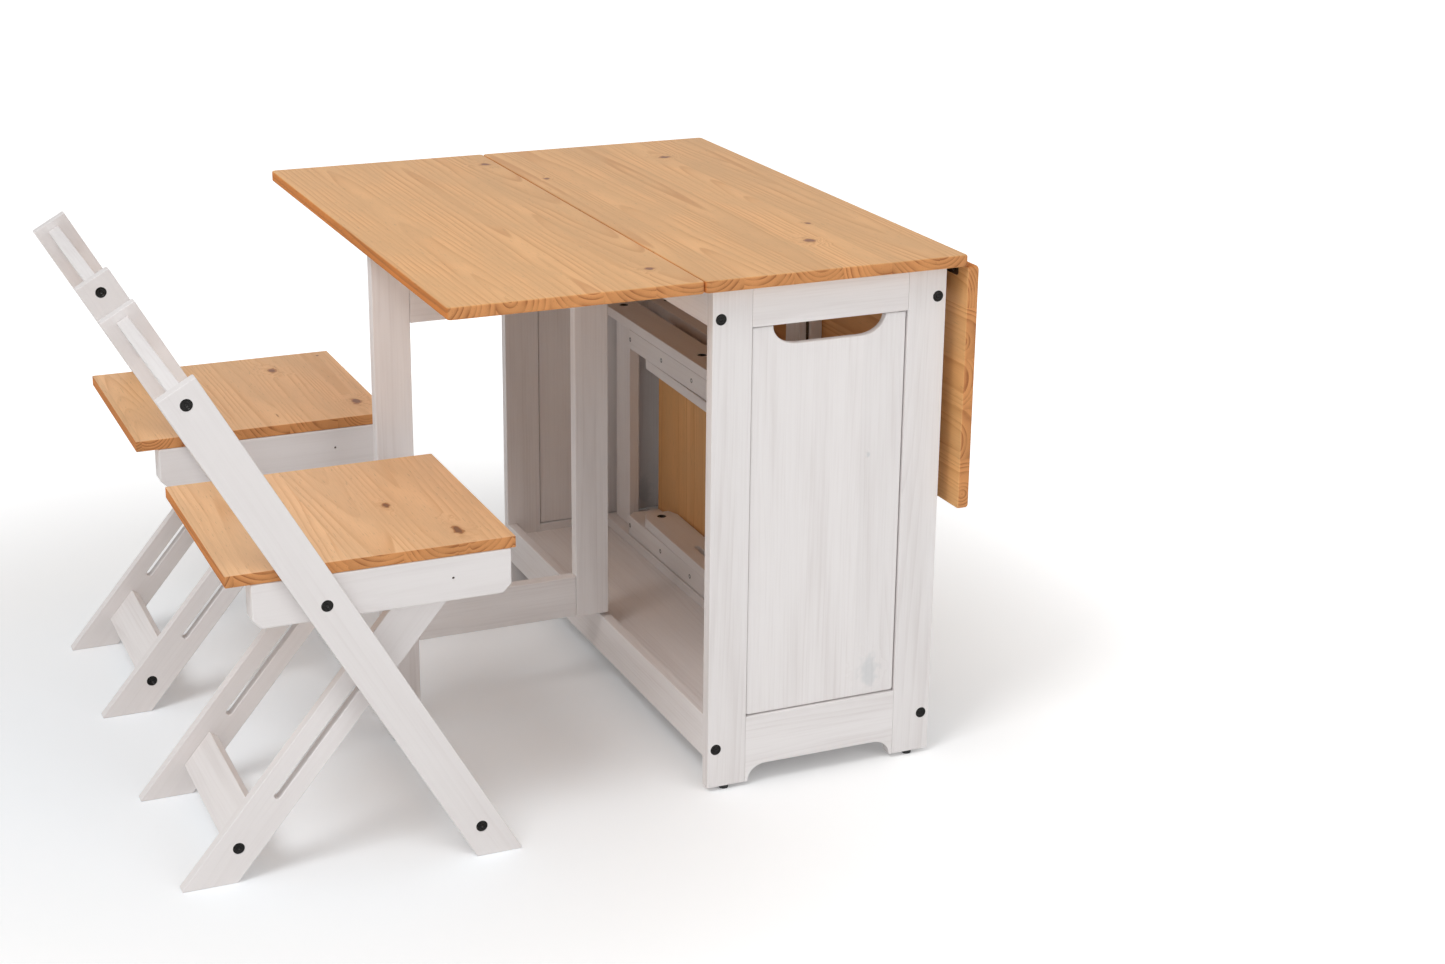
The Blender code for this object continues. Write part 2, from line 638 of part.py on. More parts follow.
empty_the_scene()
PARTS = new_collection("folding_dining_set")
CUTTERS = new_collection("cutters")
ORIGIN = bpy.data.objects.new("set_origin", None)
ORIGIN.location.x = -set_middle()
PARTS.objects.link(ORIGIN)
table_top()
table_ends()
table_sides()
gate(-1, "left", math.radians(180))
gate(1, "right", math.radians(90))
open_chairs()
stored_chairs()
bpy.context.view_layer.update()
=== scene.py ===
"""Folding dining set: the looks of a gateleg table of oiled and white-painted pine, with two folding
chairs drawn up to its raised leaf and two more stored, folded, inside it.

Metres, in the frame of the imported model. A board is an outline in a plane of its own, carried from one
face to the other, and its grain runs in its material's own axes.
"""

import math
from functools import partial

import bpy
import numpy as np
from mathutils import Matrix, Vector
from mathutils.geometry import tessellate_polygon


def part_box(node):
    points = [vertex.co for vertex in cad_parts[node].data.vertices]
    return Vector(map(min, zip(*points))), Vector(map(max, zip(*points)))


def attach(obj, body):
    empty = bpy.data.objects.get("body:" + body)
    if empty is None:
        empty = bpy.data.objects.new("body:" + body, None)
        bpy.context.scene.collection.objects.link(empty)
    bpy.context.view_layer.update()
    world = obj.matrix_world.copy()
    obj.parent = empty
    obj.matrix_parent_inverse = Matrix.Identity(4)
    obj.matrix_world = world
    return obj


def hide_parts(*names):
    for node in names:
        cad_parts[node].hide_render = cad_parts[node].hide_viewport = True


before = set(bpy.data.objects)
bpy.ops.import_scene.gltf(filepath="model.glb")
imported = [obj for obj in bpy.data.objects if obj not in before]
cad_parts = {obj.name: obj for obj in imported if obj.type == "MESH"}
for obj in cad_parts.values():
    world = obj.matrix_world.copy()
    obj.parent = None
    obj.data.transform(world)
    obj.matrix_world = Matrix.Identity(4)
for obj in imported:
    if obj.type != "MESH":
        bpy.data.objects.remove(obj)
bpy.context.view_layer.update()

bl_info = {
    "name": "Folding dining set",
    "version": (1, 0, 0),
    "blender": (4, 5, 0),
    "location": "View3D > Sidebar > Dining set",
    "description": "Builds the boards, hinges, bolts and studio of a folding dining set",
    "category": "Object",
}

TOP_LOW, TOP_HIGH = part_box("centre_top")
MIDDLE_X = (TOP_LOW.x + TOP_HIGH.x) / 2
UNDERSIDE = TOP_LOW.z
END_FACE, END_BACK = (-corner.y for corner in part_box("near_end_left_stile"))
X, Y, Z = np.eye(3)
HANDS = ((1, "left"), (-1, "right"))

# The ends' bolts, glides, hand-hole and arch, and the hinges, from the middle of the table
END_BOLT = {"across": 0.1655, "upper": 0.6987, "lower": 0.065, "proud": 0.0006}
GLIDE_HEIGHT = 0.0065
HAND_HOLE = {"half": 0.086, "flat": 0.0487, "depth": 0.028, "blend": 0.008}
ARCH = {"foot": 0.004, "flat": 0.087, "rise": 0.031}
PANEL_SEAM = 0.0015
PANEL_CORNER = 0.0034
TOP_CORNER = 0.006
BUTT_HINGE = {
    "across": 0.199, "wing": (0.0078, 0.0008), "reach": 0.0105,
    "screws": ((-0.62, 0.001), (0, -0.003), (0.62, 0.001)),
}
STRIP_HINGE = {
    "across": 0.1785, "along": -0.009, "wing": (0.0112, 0.0007), "reach": 0.0146,
    "set_back": (0.0013, 0.0006), "screws": (-0.9, -0.45, 0.0, 0.45, 0.9),
    "staggered": (-0.68, -0.22, 0.22, 0.68), "off": 0.001,
}
BARREL_RADIUS = 0.0032

# The chairs' own sizes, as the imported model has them, from the seat's pivot
LEAN = math.radians(29.7)
PIVOT_HEIGHT = 0.3947
CHAIR_WIDTH = 0.400
CHAIR_PARTS = ("frame", "seat", "legs")
POST = {"width": 0.056, "thickness": 0.0165, "above": 0.353}
CREST = {"bolt": 0.3297, "past": 0.012, "width": 0.060, "thickness": 0.018}
STRETCHER = {"bolt": (PIVOT_HEIGHT - 0.0445) / math.cos(LEAN), "width": 0.040, "thickness": 0.016}
SEAT = {"front": 0.2605, "back": 0.1255, "high": 0.0518, "thickness": 0.016, "side_gap": 0.0012}
APRON = {
    "thickness": 0.035, "front": 0.254, "back": 0.093, "low": 0.0262, "chamfer": 0.012,
    "set_in": 0.0010, "cut_back": 0.0004, "screws": (0.017, 0.150, 0.272), "corner": 0.003,
}
LEG_PIVOT = np.array([0.1737, 0, 0.0057])
LEG_PIN = {"radius": 0.0018, "deep": 0.0065, "shallow": 0.0035, "hole": (0.0021, 0.006)}
LEG = {"width": 0.059, "thickness": 0.0165, "slot_start": 0.155, "slot_width": 0.009, "slot_to_bolt": 0.0858}
LEG_BOLT_RISE = 0.0499
SLIDE_PIN = {"below": 0.1384, "radius": 0.004, "set_in": 0.001}
BOARD_CORNER = 0.002
CHAIR_PLACE = (-0.734, 0.288)
STORED = {"inner": 0.027, "apart": 0.0819, "behind": 0.0043}
POST_INNER = CHAIR_WIDTH / 2 - POST["thickness"]
GAP = 0.0003
PIT = {"clearance": 0.0003, "depth": 0.0032, "sunk": 0.0003, "lip": 0.0004}
UP = np.array([-math.sin(LEAN), 0, math.cos(LEAN)])
ACROSS = np.array([math.cos(LEAN), 0, math.sin(LEAN)])

# Knots: on the top in the room, on a seat along and across the board, on the panels by their height and
# place across. Each ends in its radius and how much shorter it is along the grain.
TOP_KNOTS = {
    "centre_top": (
        (-0.1672, 0.2326, 0.76, 0.0040, 0.8), (0.0717, 0.3215, 0.76, 0.0080, 0.9),
        (0.0776, -0.202, 0.76, 0.0045, 0.8), (0.0324, -0.2975, 0.76, 0.0070, 0.7),
    ),
    "left_leaf": ((-0.2413, -0.366, 0.76, 0.0058, 0.8), (-0.222, 0.3763, 0.76, 0.0070, 0.8)),
    "right_leaf": ((0.2, 0.12, 0.55, 0.008, 0.7),),
}
SEAT_KNOTS = {
    "near": ((-0.0080, 0.0688, 0.0040, 0.40), (-0.132, 0.1292, 0.0065, 0.42)),
    "far": (
        (0.1014, 0.080, 0.0078, 0.6), (-0.1094, 0.1609, 0.0074, 0.6), (0.1586, 0.1708, 0.0025, 0.8),
        (-0.1349, 0.0304, 0.0016, 0.2),
    ),
}
PANEL_KNOTS = ((0.1452, 0.0774, 0.0085, 0.6), (0.4777, 0.0656, 0.0022, 0.7))

# Turned heads, as shares of the radius and heights, the glides, and a hinge's groove, as shares of the
# radius and places along the barrel
BOLT_HEAD = (
    (0.90, -0.0022), (1, -0.0022), (1, -0.0013), (0.97, -0.0006), (0.90, -0.0001), (0.80, 0.0),
    (0.72, -0.0003), (0.66, -0.0012), (0.56, -0.0013), (0.50, -0.0008), (0.40, -0.0007), (0.33, -0.0009),
    (0.30, -0.0019), (0.08, -0.0021),
)
SCREW_HEAD = (
    (0.8, -0.0008), (1, -0.0002), (0.9, 0.0001), (0.6, 0.00025), (0.45, 0.00025), (0.40, -0.0003),
    (0.12, -0.0004),
)
SCREW_RADIUS = 0.0032
APRON_SCREW_RADIUS = 0.0042
GLIDE_PROFILE = ((0.0066, 0), (0.007, 0.0006), (0.007, GLIDE_HEIGHT - 0.0005), (0.0062, GLIDE_HEIGHT))
GROOVE = ((1, -0.0004), (0.82, -0.0002), (0.82, 0.0002), (1, 0.0004))

# Fittings' dark and light colours, roughness, how metallic they are, and the scale of their texture
FITTINGS = {
    # Bolts of steel, chemically blackened: near black, with a soft satin shine on the rims
    "blackened_steel": ("100F0E", "211F1D", 0.24, 0.6, 900.0),
    # Hinges of pressed steel in antique bronze plate: dark brown, brighter where they are rubbed
    "bronzed_steel": ("3A2C20", "6B543A", 0.42, 0.9, 900.0),
    # Zinc-plated screws: pale grey and fairly shiny
    "zinc_plated_steel": ("5C5B58", "8C8A85", 0.36, 0.9, 900.0),
    # Glides of moulded black nylon: dull black, with a faint texture from the mould
    "moulded_nylon": ("101112", "1B1C1E", 0.55, 0.0, 1500.0),
}

# How far to the side the pith lies, in widths of a plank, how strongly the grain shows through the
# chairs' paint, and settings that many shader nodes share
PITH_SPREAD = 1.5
CHAIR_FIGURE = 0.45
SMOOTH = {"interpolation_type": "SMOOTHSTEP"}
COLOURS = {"data_type": "RGBA", "out": 2}
TIMES = {"operation": "MULTIPLY"}
TIMES_PLUS = {"operation": "MULTIPLY_ADD"}
LENGTH = {"operation": "LENGTH", "out": "Value"}

# The floor as the camera sees it, under the table and farther out, and as the light meets it. Under the table
# the camera sees a bluer floor, which is painted light that cools the warm shade there.
FLOOR_NEAR = (0.895, 0.937, 0.975, 1.0)
FLOOR_FAR = (0.95, 0.95, 0.95, 1.0)
FLOOR_LIT = "FAFAFA"
FLOOR_RADIUS = 40.0
FLOOR_MIDDLE = (-0.3, 0, 0)
FLOOR_CORNERS = 64

# The lamps' places, what they are aimed at and their widths, and the camera's lens in widths of its
# sensor, its shift, place and turn
LAMPS = {
    "key": ((-2.3, -1.7, 4.0), (0, 0, 0.4), 1.6),
    "front": ((-2.4, -3.6, 1.3), (-0.4, 0, 0.4), 1.6),
    "fill": ((1.6, -3.6, 1.8), (0, 0, 0.4), 2.5),
}
LENS = 2334.24 / 1445
SHIFT = (0.05, -0.05)
CAMERA_PLACE = (-1.06027, -3.17913, 1.52956)
CAMERA_TURN = (1.26338, -0.00331, -0.39587)

# Steps in the rounding of an edge or a corner, and how much rounder a board's corners are than its edges
ARC_STEPS = 3
CORNER_SHARE = 1.15


def linear(code):
    """An sRGB hex colour as the linear values that Blender's sockets take, with an alpha of one."""
    share = np.array([int(code[i:i + 2], 16) / 255 for i in (0, 2, 4)])
    made = np.where(share <= 0.04045, share / 12.92, ((share + 0.055) / 1.055) ** 2.4)
    return (*made.tolist(), 1.0)


# Settings that a user may change


def colour(name, code, description):
    return bpy.props.FloatVectorProperty(
        name=name, description=description, subtype="COLOR", size=4, min=0, max=1, default=linear(code)
    )


def length(name, millimetres, description):
    return bpy.props.FloatProperty(
        name=name, description=description, unit="LENGTH", subtype="DISTANCE", min=0,
        default=millimetres / 1000,
    )


def strength(name, value, description):
    return bpy.props.FloatProperty(name=name, description=description, min=0, default=value)


class DiningWood(bpy.types.PropertyGroup):
    """Colours and figure of the two finishes of pine."""

    early: colour("Earlywood", "E4AE73", "Oiled pine between the growth rings")
    late: colour("Latewood", "BE7C3E", "Oiled pine in the growth rings")
    # The seats' paler earlywood is partly paler planks and partly painted light: it lightens and greys the
    # seats as if more light and the room's pale sheen fell on them.
    pale: colour("Seat earlywood", "F0C191", "Oiled pine of the seats, from paler planks")
    edge: colour("Edge", "DB8C4A", "Oiled pine on the planed long edges, which take more oil")
    end: colour("Sawn end", "D5955E", "Oiled pine on the sawn ends, between the rings")
    end_late: colour("End rings", "A0623A", "Growth rings on the sawn ends")
    knot: colour("Knot", "B0713F", "Rim of a knot")
    heart: colour("Knot's heart", "75472B", "Heart of a knot")
    paint: colour("Paint", "EFEBEA", "White paint over planed pine")
    paint_low: colour("Thin paint", "DAD3D1", "White paint where it has sunk into the grain")
    paint_knot: colour("Painted knot", "B4BDC1", "Shadow of a knot through the paint")
    ring: length("Ring spacing", 8.2, "Distance between growth rings on a sawn end")
    plank: length("Plank width", 74.0, "Width of the planks glued into a top or a seat")


class DiningSizes(bpy.types.PropertyGroup):
    """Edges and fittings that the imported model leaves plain."""

    edge: length("Board edge", 1.3, "Rounding of a painted board's edges")
    frame_edge: length("End frame edge", 0.4, "Rounding of the ends' stiles and rails, painted as one")
    apron_edge: length("Apron edge", 2.2, "Rounding of the aprons under the seats")
    panel_edge: length("Panel edge", 1.6, "Rounding of the inset panels")
    hole_edge: length("Hand-hole edge", 2.2, "Rounding of the hand-holes")
    top_edge: length("Top edge", 2.8, "Rounding of the top's and the leaves' edges")
    seat_edge: length("Seat edge", 1.2, "Rounding of a seat's edges")
    bolt_head: length("Bolt head", 16.4, "Diameter of a bolt's head")
    knuckle: length("Hinge knuckle", 12.0, "Length of a hinge's knuckle")


class DiningStudio(bpy.types.PropertyGroup):
    """Light of the studio."""

    key: strength("Key light", 75.0, "Strength of the large lamp")
    fill: strength("Fill light", 27.5, "Strength of the side lamp")
    front: strength("Front light", 8.0, "Strength of the low lamp")
    sky: strength("Surroundings", 0.365, "Strength of the pale room")


def dining_sizes():
    return bpy.context.scene.dining_sizes


# Meshes


def unit(vectors):
    return vectors / np.linalg.norm(vectors, axis=-1, keepdims=True)


def added(name, data):
    """A new object in the scene."""
    made = bpy.data.objects.new(name, data)
    bpy.context.scene.collection.objects.link(made)
    return made


def put(name, points, faces, material, body, nodes=()):
    """An object from points and faces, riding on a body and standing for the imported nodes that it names."""
    mesh = bpy.data.meshes.new(name)
    mesh.from_pydata(points.tolist(), [], faces)
    mesh.shade_smooth()
    mesh.materials.append(material)
    made = added(name, mesh)
    made.modifiers.new("even_shading", "WEIGHTED_NORMAL").weight = 60
    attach(made, body)
    if nodes:
        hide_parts(*nodes)


def around(rows, count):
    """Faces between neighbouring rows of points, each row a closed loop of count points."""
    i = np.arange(count)
    j = np.roll(i, -1)
    low = np.arange(rows - 1)[:, None] * count
    return np.stack([low + i, low + j, low + count + j, low + count + i], -1).reshape(-1, 4)


def rounded(corners, radius):
    """A polygon with arcs at its corners.

    Each corner moves back along both its sides by radius / tan(half its angle), and the points between
    lie on the circle that touches both sides there.
    """
    c = np.asarray(corners, float)
    a, b = unit(np.roll(c, 1, 0) - c), unit(np.roll(c, -1, 0) - c)
    half = np.arccos(np.clip((a * b).sum(1), -1, 1))[:, None] / 2
    middle = c + unit(a + b) * radius / np.sin(half)
    start = (c + a * radius / np.tan(half) - middle) / radius
    stop = (c + b * radius / np.tan(half) - middle) / radius
    share = np.linspace(0, 1, ARC_STEPS + 1)[None, :, None]
    arc = unit(start[:, None] * (1 - share) + stop[:, None] * share)
    return (middle[:, None] + radius * arc).reshape(-1, 2)


def oblong(half, radius):
    """A board's outline: its length by its width, from half sizes, with rounded corners."""
    a, b = half[:2]
    return rounded([(-a, -b), (a, -b), (a, b), (-a, b)], radius)


def turned_to(outline, sign):
    """A closed outline run anticlockwise for a sign of 1 and clockwise for -1, as its area tells."""
    after = np.roll(outline, -1, 0)
    area = (outline[:, 0] * after[:, 1] - outline[:, 1] * after[:, 0]).sum()
    return outline if area * sign > 0 else outline[::-1]


def moved_in(outline, distance):
    """Each point moved to the left of the way round, so that its two sides move by distance."""
    side = np.roll(outline, -1, 0) - outline
    normal = unit(np.stack([-side[:, 1], side[:, 0]], 1))
    before = np.roll(normal, 1, 0)
    lean = 1 + (normal * before).sum(1, keepdims=True)
    return outline + distance * (normal + before) / lean


def section(low, high, edge):
    """Depths and insets across a board's edge: a row for each step, a column for each point of the outline.

    A quarter circle of radius edge at each face, straight between them: inset = edge (1 - sin t), depth =
    low + edge (1 - cos t).
    """
    turn = np.linspace(0, math.pi / 2, ARC_STEPS + 1)[:, None]
    inset = edge * (1 - np.sin(turn))
    depth = low + edge * (1 - np.cos(turn))
    return np.concatenate([depth, (low + high - depth)[::-1]]), np.concatenate([inset, inset[::-1]])


def slab(name, outline, low, high, edge, lay, material, body, nodes=(), slots=(), pits=()):
    """A board with rounded edges.

    Point (i, j) is point i of the outline, moved in by inset j, at depth j of the section. edge is one
    rounding, or one for each point of an outline that runs anticlockwise. A slot is the same with an
    outline that runs the other way. A pit is a ring sunk into one face: (middle, radius, depth, 1 or -1
    for the high or the low face). The faces are filled between their outer line and their holes.
    """
    points, faces, count = [], [], 0
    caps = {-1: [], 1: []}
    for k, line in enumerate([turned_to(outline, 1)] + [turned_to(s, -1) for s in slots]):
        size = len(line)
        rounding = np.broadcast_to(edge, size) if k == 0 else np.full(size, np.min(edge))
        depths, insets = section(low, high, rounding)
        points += [np.column_stack([moved_in(line, i[:, None]), d]) for d, i in zip(depths, insets)]
        faces += (around(len(depths), size) + count).tolist()
        caps[-1].append(np.arange(size) + count)
        count += size * len(depths)
        caps[1].append(np.arange(size) + count - size)
    turn = np.arange(24) / 24 * math.tau
    for middle, radius, depth, face in pits:
        start = high if face > 0 else low
        line = (middle + radius * np.stack([np.cos(turn), np.sin(turn)], 1))[::-1]
        size, lip = len(line), PIT["lip"]
        rows = (moved_in(line, -lip), start), (line, start - face * lip), (line, start - face * depth)
        points += [np.column_stack([row, np.full(size, deep)]) for row, deep in rows]
        sunk = (around(3, size) + count).tolist() + [list(range(count + 2 * size, count + 3 * size))]
        faces += [cell[::-face] for cell in sunk]
        caps[face].append(np.arange(size) + count)
        count += 3 * size
    flat = np.concatenate(points)
    for face, loops in caps.items():
        if len(loops) == 1:
            faces.append(loops[0].tolist()[::face])
            continue
        index = np.concatenate(loops)
        lines = [[Vector((*flat[i][:2], 0)) for i in loop] for loop in loops]
        cells = index[np.array(tessellate_polygon(lines))]
        p, q, r = flat[cells[:, 0]], flat[cells[:, 1]], flat[cells[:, 2]]
        way = (q - p)[:, 0] * (r - p)[:, 1] - (q - p)[:, 1] * (r - p)[:, 0]
        cells[way * face < 0] = cells[way * face < 0][:, ::-1]
        faces += cells[np.abs(way) > 1e-14].tolist()
    origin, axes = lay
    put(name, origin + flat @ axes, faces, material, body, nodes)


def packed(node):
    """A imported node's middle and half sizes."""
    low, high = (np.array(v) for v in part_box(node))
    return (low + high) / 2, (high - low) / 2


def box_of(node, along):
    """A packed board's middle, its axes (along the grain, across it, through it) and its half sizes."""
    middle, half = packed(node)
    order = [along] + sorted((i for i in range(3) if i != along), key=lambda i: -half[i])
    axes = np.eye(3)[order]
    axes[2] = np.cross(axes[0], axes[1])
    return middle, axes, half[order]


def plank(node, along, finish, body, edge=None, corner=None, **look):
    """A straight board in a packed board's place, with its grain along the axis of that number."""
    origin, axes, half = box_of(node, along)
    edge = edge or dining_sizes().edge
    material = finish(f"{node}_board", origin, axes, half[2], **look)
    outline = oblong(half, corner or edge * CORNER_SHARE)
    slab(f"{node}_board", outline, -half[2], half[2], edge, (origin, axes), material, body, (node,))


def turned(name, profile, start, axis, material, body, nodes=(), sides=32, socket=0):
    """A turned piece: profile (radius, height) carried round an axis.

    Point (i, j) = start + height j * axis + radius j * (cos a_i, sin a_i) across it. Rows from socket
    on are pulled in to a hexagon: their radius is divided by cos of the angle to the nearest flat.
    """
    axis = unit(np.array(axis, float))
    side = unit(np.cross(axis, Z if abs(axis[2]) < 0.9 else X))
    turn = np.arange(sides) / sides * math.tau
    radius, height = np.array(profile, float).T
    reach = np.repeat(radius[:, None], sides, 1)
    if socket:
        reach[socket:] /= np.cos((turn + math.pi / 6) % (math.pi / 3) - math.pi / 6)
    spokes = np.cos(turn)[:, None] * side + np.sin(turn)[:, None] * np.cross(axis, side)
    points = start + height[:, None, None] * axis + reach[:, :, None] * spokes
    last = sides * (len(radius) - 1)
    faces = around(len(radius), sides).tolist() + [list(range(sides))[::-1], list(range(last, last + sides))]
    put(name, points.reshape(-1, 3), faces, material, body, nodes)


# Materials


def fill(made, inputs):
    """Sets a node's inputs, and links those whose value is another node's output."""
    for key, value in inputs.items():
        if isinstance(value, bpy.types.NodeSocket):
            made.id_data.links.new(value, made.inputs[key])
        else:
            made.inputs[key].default_value = value


def node(tree, kind, *values, out=0, **settings):
    """Adds a shader node with its settings and links, and gives one of its outputs.

    Values fill its inputs in turn. A setting that starts with in_ fills the input of that number or
    name, and any other sets an attribute.
    """
    made = tree.nodes.new(f"ShaderNode{kind}")
    inputs = dict(enumerate(values))
    for key, value in settings.items():
        if key.startswith("in_"):
            inputs[int(key[3:]) if key[3:].isdigit() else key[3:]] = value
        else:
            setattr(made, key, value)
    fill(made, inputs)
    return made.outputs[out]


def started(name):
    """A new material, the function that adds nodes to it, and its shader."""
    material = bpy.data.materials.new(name)
    material.use_nodes = True
    tree = material.node_tree
    return material, partial(node, tree), tree.nodes["Principled BSDF"]


def seed_of(name):
    """A steady number from 0 to 1 for a piece's name, so that no two boards have the same figure."""
    total = 0
    for k, letter in enumerate(name):
        total = (total * 31 + ord(letter) * (k + 7)) % 9973
    return total / 9973


def grain_space(add, origin, axes):
    """A board's coordinates in metres from its middle (along, across, through), and its normal in them."""
    turn = Matrix(axes)
    place = -(turn @ Vector(origin))
    room = add("TexCoord").node.outputs
    angles = turn.to_euler()
    where = add("Mapping", room["Object"], in_Location=place, in_Rotation=angles)
    normal = add("Mapping", room["Normal"], vector_type="VECTOR", in_Rotation=angles)
    return where, add("VectorMath", normal, operation="ABSOLUTE")


def grain_patterns(add, where, *patterns):
    """Noise drawn out along the grain: each pattern has a scale along it, one across it and a detail."""
    return [
        add("TexNoise", add("Mapping", where, in_Scale=(along, across, across)), in_Scale=1, in_Detail=detail)
        for along, across, detail in patterns
    ]


def growth_rings(add, where, seed, spacing, plank_width, thickness, knots):
    """How dark the growth rings are, the plank's own chance and how near a knot is.

    A ring is a tube round the pith, which runs along the board under its face and slants through it, so
    that it crosses the face in long arches: distance = root((across - a)^2 + (through - b - slant *
    along)^2), bent by slow noise and pushed out round each knot. Across a ring, pale earlywood darkens
    slowly to a sharp line of latewood.
    """
    along, across, through = add("SeparateXYZ", where).node.outputs
    number = seed * 57
    if plank_width:
        place = add("Math", across, 1 / plank_width, seed * 9 + 30.5, **TIMES_PLUS)
        number = add("Math", add("Math", place, operation="FLOOR"), number)
        share = add("Math", place, operation="FRACT")
        across = add("Math", share, plank_width, -plank_width / 2, **TIMES_PLUS)
    dice = add("TexWhiteNoise", in_W=number, out="Color", noise_dimensions="1D")
    red, green, chance = add("SeparateColor", dice).node.outputs
    reach = (plank_width or 0.06) * PITH_SPREAD
    drift, wander = grain_patterns(add, where, (1.5, 5, 2), (16, 40, 2))
    side = add("Math", red, reach, -reach / 2, **TIMES_PLUS)
    width = add("Math", add("Math", wander, 0.0022, across, **TIMES_PLUS), side, operation="SUBTRACT")
    deep = add("Math", green, 0.050, add("Math", through, -0.003), **TIMES_PLUS)
    deep = add("Math", drift, 0.030, deep, **TIMES_PLUS)
    deep = add("Math", add("Math", chance, 0.11, -0.055, **TIMES_PLUS), along, deep, **TIMES_PLUS)
    distance = add("VectorMath", add("CombineXYZ", 0.0, width, deep), **LENGTH)
    ragged = add("TexNoise", where, in_Scale=75, in_Detail=1)
    ragged = add("MapRange", ragged, 0.3, 0.7, 0.78, 1.35, **SMOOTH)
    near = None
    for a, b, radius, stretch in knots:
        apart = add("VectorMath", where, (a, b, thickness), operation="SUBTRACT")
        apart = add("VectorMath", apart, (stretch, 1.0, 0.08), **TIMES)
        far = add("Math", add("VectorMath", apart, **LENGTH), ragged, **TIMES)
        distance = add("Math", distance, add("MapRange", far, 0.0, radius * 4.2, radius * 2.6, 0.0, **SMOOTH))
        here = add("MapRange", far, radius * 0.6, radius * 2.4, 1.0, 0.0, **SMOOTH)
        near = here if near is None else add("Math", near, here, operation="MAXIMUM")
    pace = add("Math", distance, 42.0, seed * 31, **TIMES_PLUS)
    pace = add("TexNoise", in_W=pace, in_Scale=1, in_Detail=0, noise_dimensions="1D")
    turns = add("Math", pace, 2.2, add("Math", distance, spacing, operation="DIVIDE"), **TIMES_PLUS)
    tone = add("ValToRGB", add("Math", turns, operation="FRACT"))
    stops = tone.node.color_ramp.elements
    stops[1].color = (0.05, 0.05, 0.05, 1)
    for place, dark in ((0.35, 0.06), (0.70, 0.45), (0.88, 1.0), (0.95, 0.85)):
        stops.new(place).color = (dark, dark, dark, 1)
    return tone, chance, near


def oiled_pine(name, origin, axes, thickness, knots=(), glued=True, pale=0.0):
    """Knotty pine, planed, glued up from planks and oiled.

    It gives a warm honey face with soft arches, redder planed edges, sawn ends with dark rings, brown
    knots in a lighter swirl and a low satin sheen. pale is how far the planks are from the top's towards
    the palest seat's, with less figure: partly paler planks, and partly painted light, which lightens and
    greys the seats as if more light and the room's pale sheen fell on them.
    """
    wood = bpy.context.scene.dining_wood
    material, add, shader = started(f"oiled_pine_{name}")
    where, square = grain_space(add, origin, axes)
    width = wood.plank if glued else 0
    tone, chance, near = growth_rings(add, where, seed_of(name), wood.ring, width, thickness, knots)
    lengthways, _, outward = add("SeparateXYZ", square).node.outputs
    end = add("MapRange", lengthways, 0.45, 0.8, **SMOOTH)
    flat = add("MapRange", outward, 0.35, 0.92, **SMOOTH)
    patches, fibre, flecks = grain_patterns(add, where, (5, 14, 3), (26, 900, 2), (45, 480, 1))
    figure = 1 - 0.4 * pale
    contrast = add("MapRange", patches, 0.35, 0.65, 0.15 * figure, 0.66 * figure, **SMOOTH)
    clear, = grain_patterns(add, where, (2, 34, 1))
    clear = add("MapRange", clear, 0.38, 0.62, 0.35, 1.0, **SMOOTH)
    # Earlywood drawn towards the seats' paler colour: partly paler planks, partly painted light on the seats.
    early = (np.array(wood.early) * (1 - pale) + np.array(wood.pale) * pale).tolist()
    face, edge, sawn = (
        add("Mix", add("Math", tone, share, **TIMES), in_6=light, in_7=dark, **COLOURS)
        for share, light, dark in (
            (contrast, early, wood.late), (0.5, wood.edge, wood.end_late), (clear, wood.end, wood.end_late),
        )
    )
    body = add("Mix", flat, in_6=edge, in_7=face, **COLOURS)
    body = add("Mix", end, in_6=body, in_7=sawn, **COLOURS)
    level = add("Math", chance, 0.10, 0.95, **TIMES_PLUS)
    for pattern, low, high, first, last in (
        (patches, 0.3, 0.7, 0.92, 1.07), (fibre, 0.3, 0.7, 0.965, 1.03), (flecks, 0.66, 0.76, 1.0, 0.80),
    ):
        level = add("Math", level, add("MapRange", pattern, low, high, first, last, **SMOOTH), **TIMES)
    body = add("VectorMath", body, operation="SCALE", in_Scale=level)
    if near:
        body = add("Mix", add("Math", near, 0.28, **TIMES), in_6=body, in_7=wood.knot, **COLOURS)
        eye = add("MapRange", near, 0.92, 0.99, **SMOOTH)
        heart = add("Mix", eye, in_6=wood.knot, in_7=wood.heart, **COLOURS)
        share = add("MapRange", near, 0.66, 0.87, 0.0, 0.88, **SMOOTH)
        body = add("Mix", share, in_6=body, in_7=heart, **COLOURS)
    height = add("Math", tone, 0.5, fibre, **TIMES_PLUS)
    fill(shader, {
        "Base Color": body, "Roughness": add("MapRange", flat, 0.0, 1.0, 0.85, 0.46),
        "Normal": add("Bump", in_Height=height, in_Strength=0.10, in_Distance=0.0006),
        "IOR": 1.46, "Specular IOR Level": 0.28,
    })
    return material


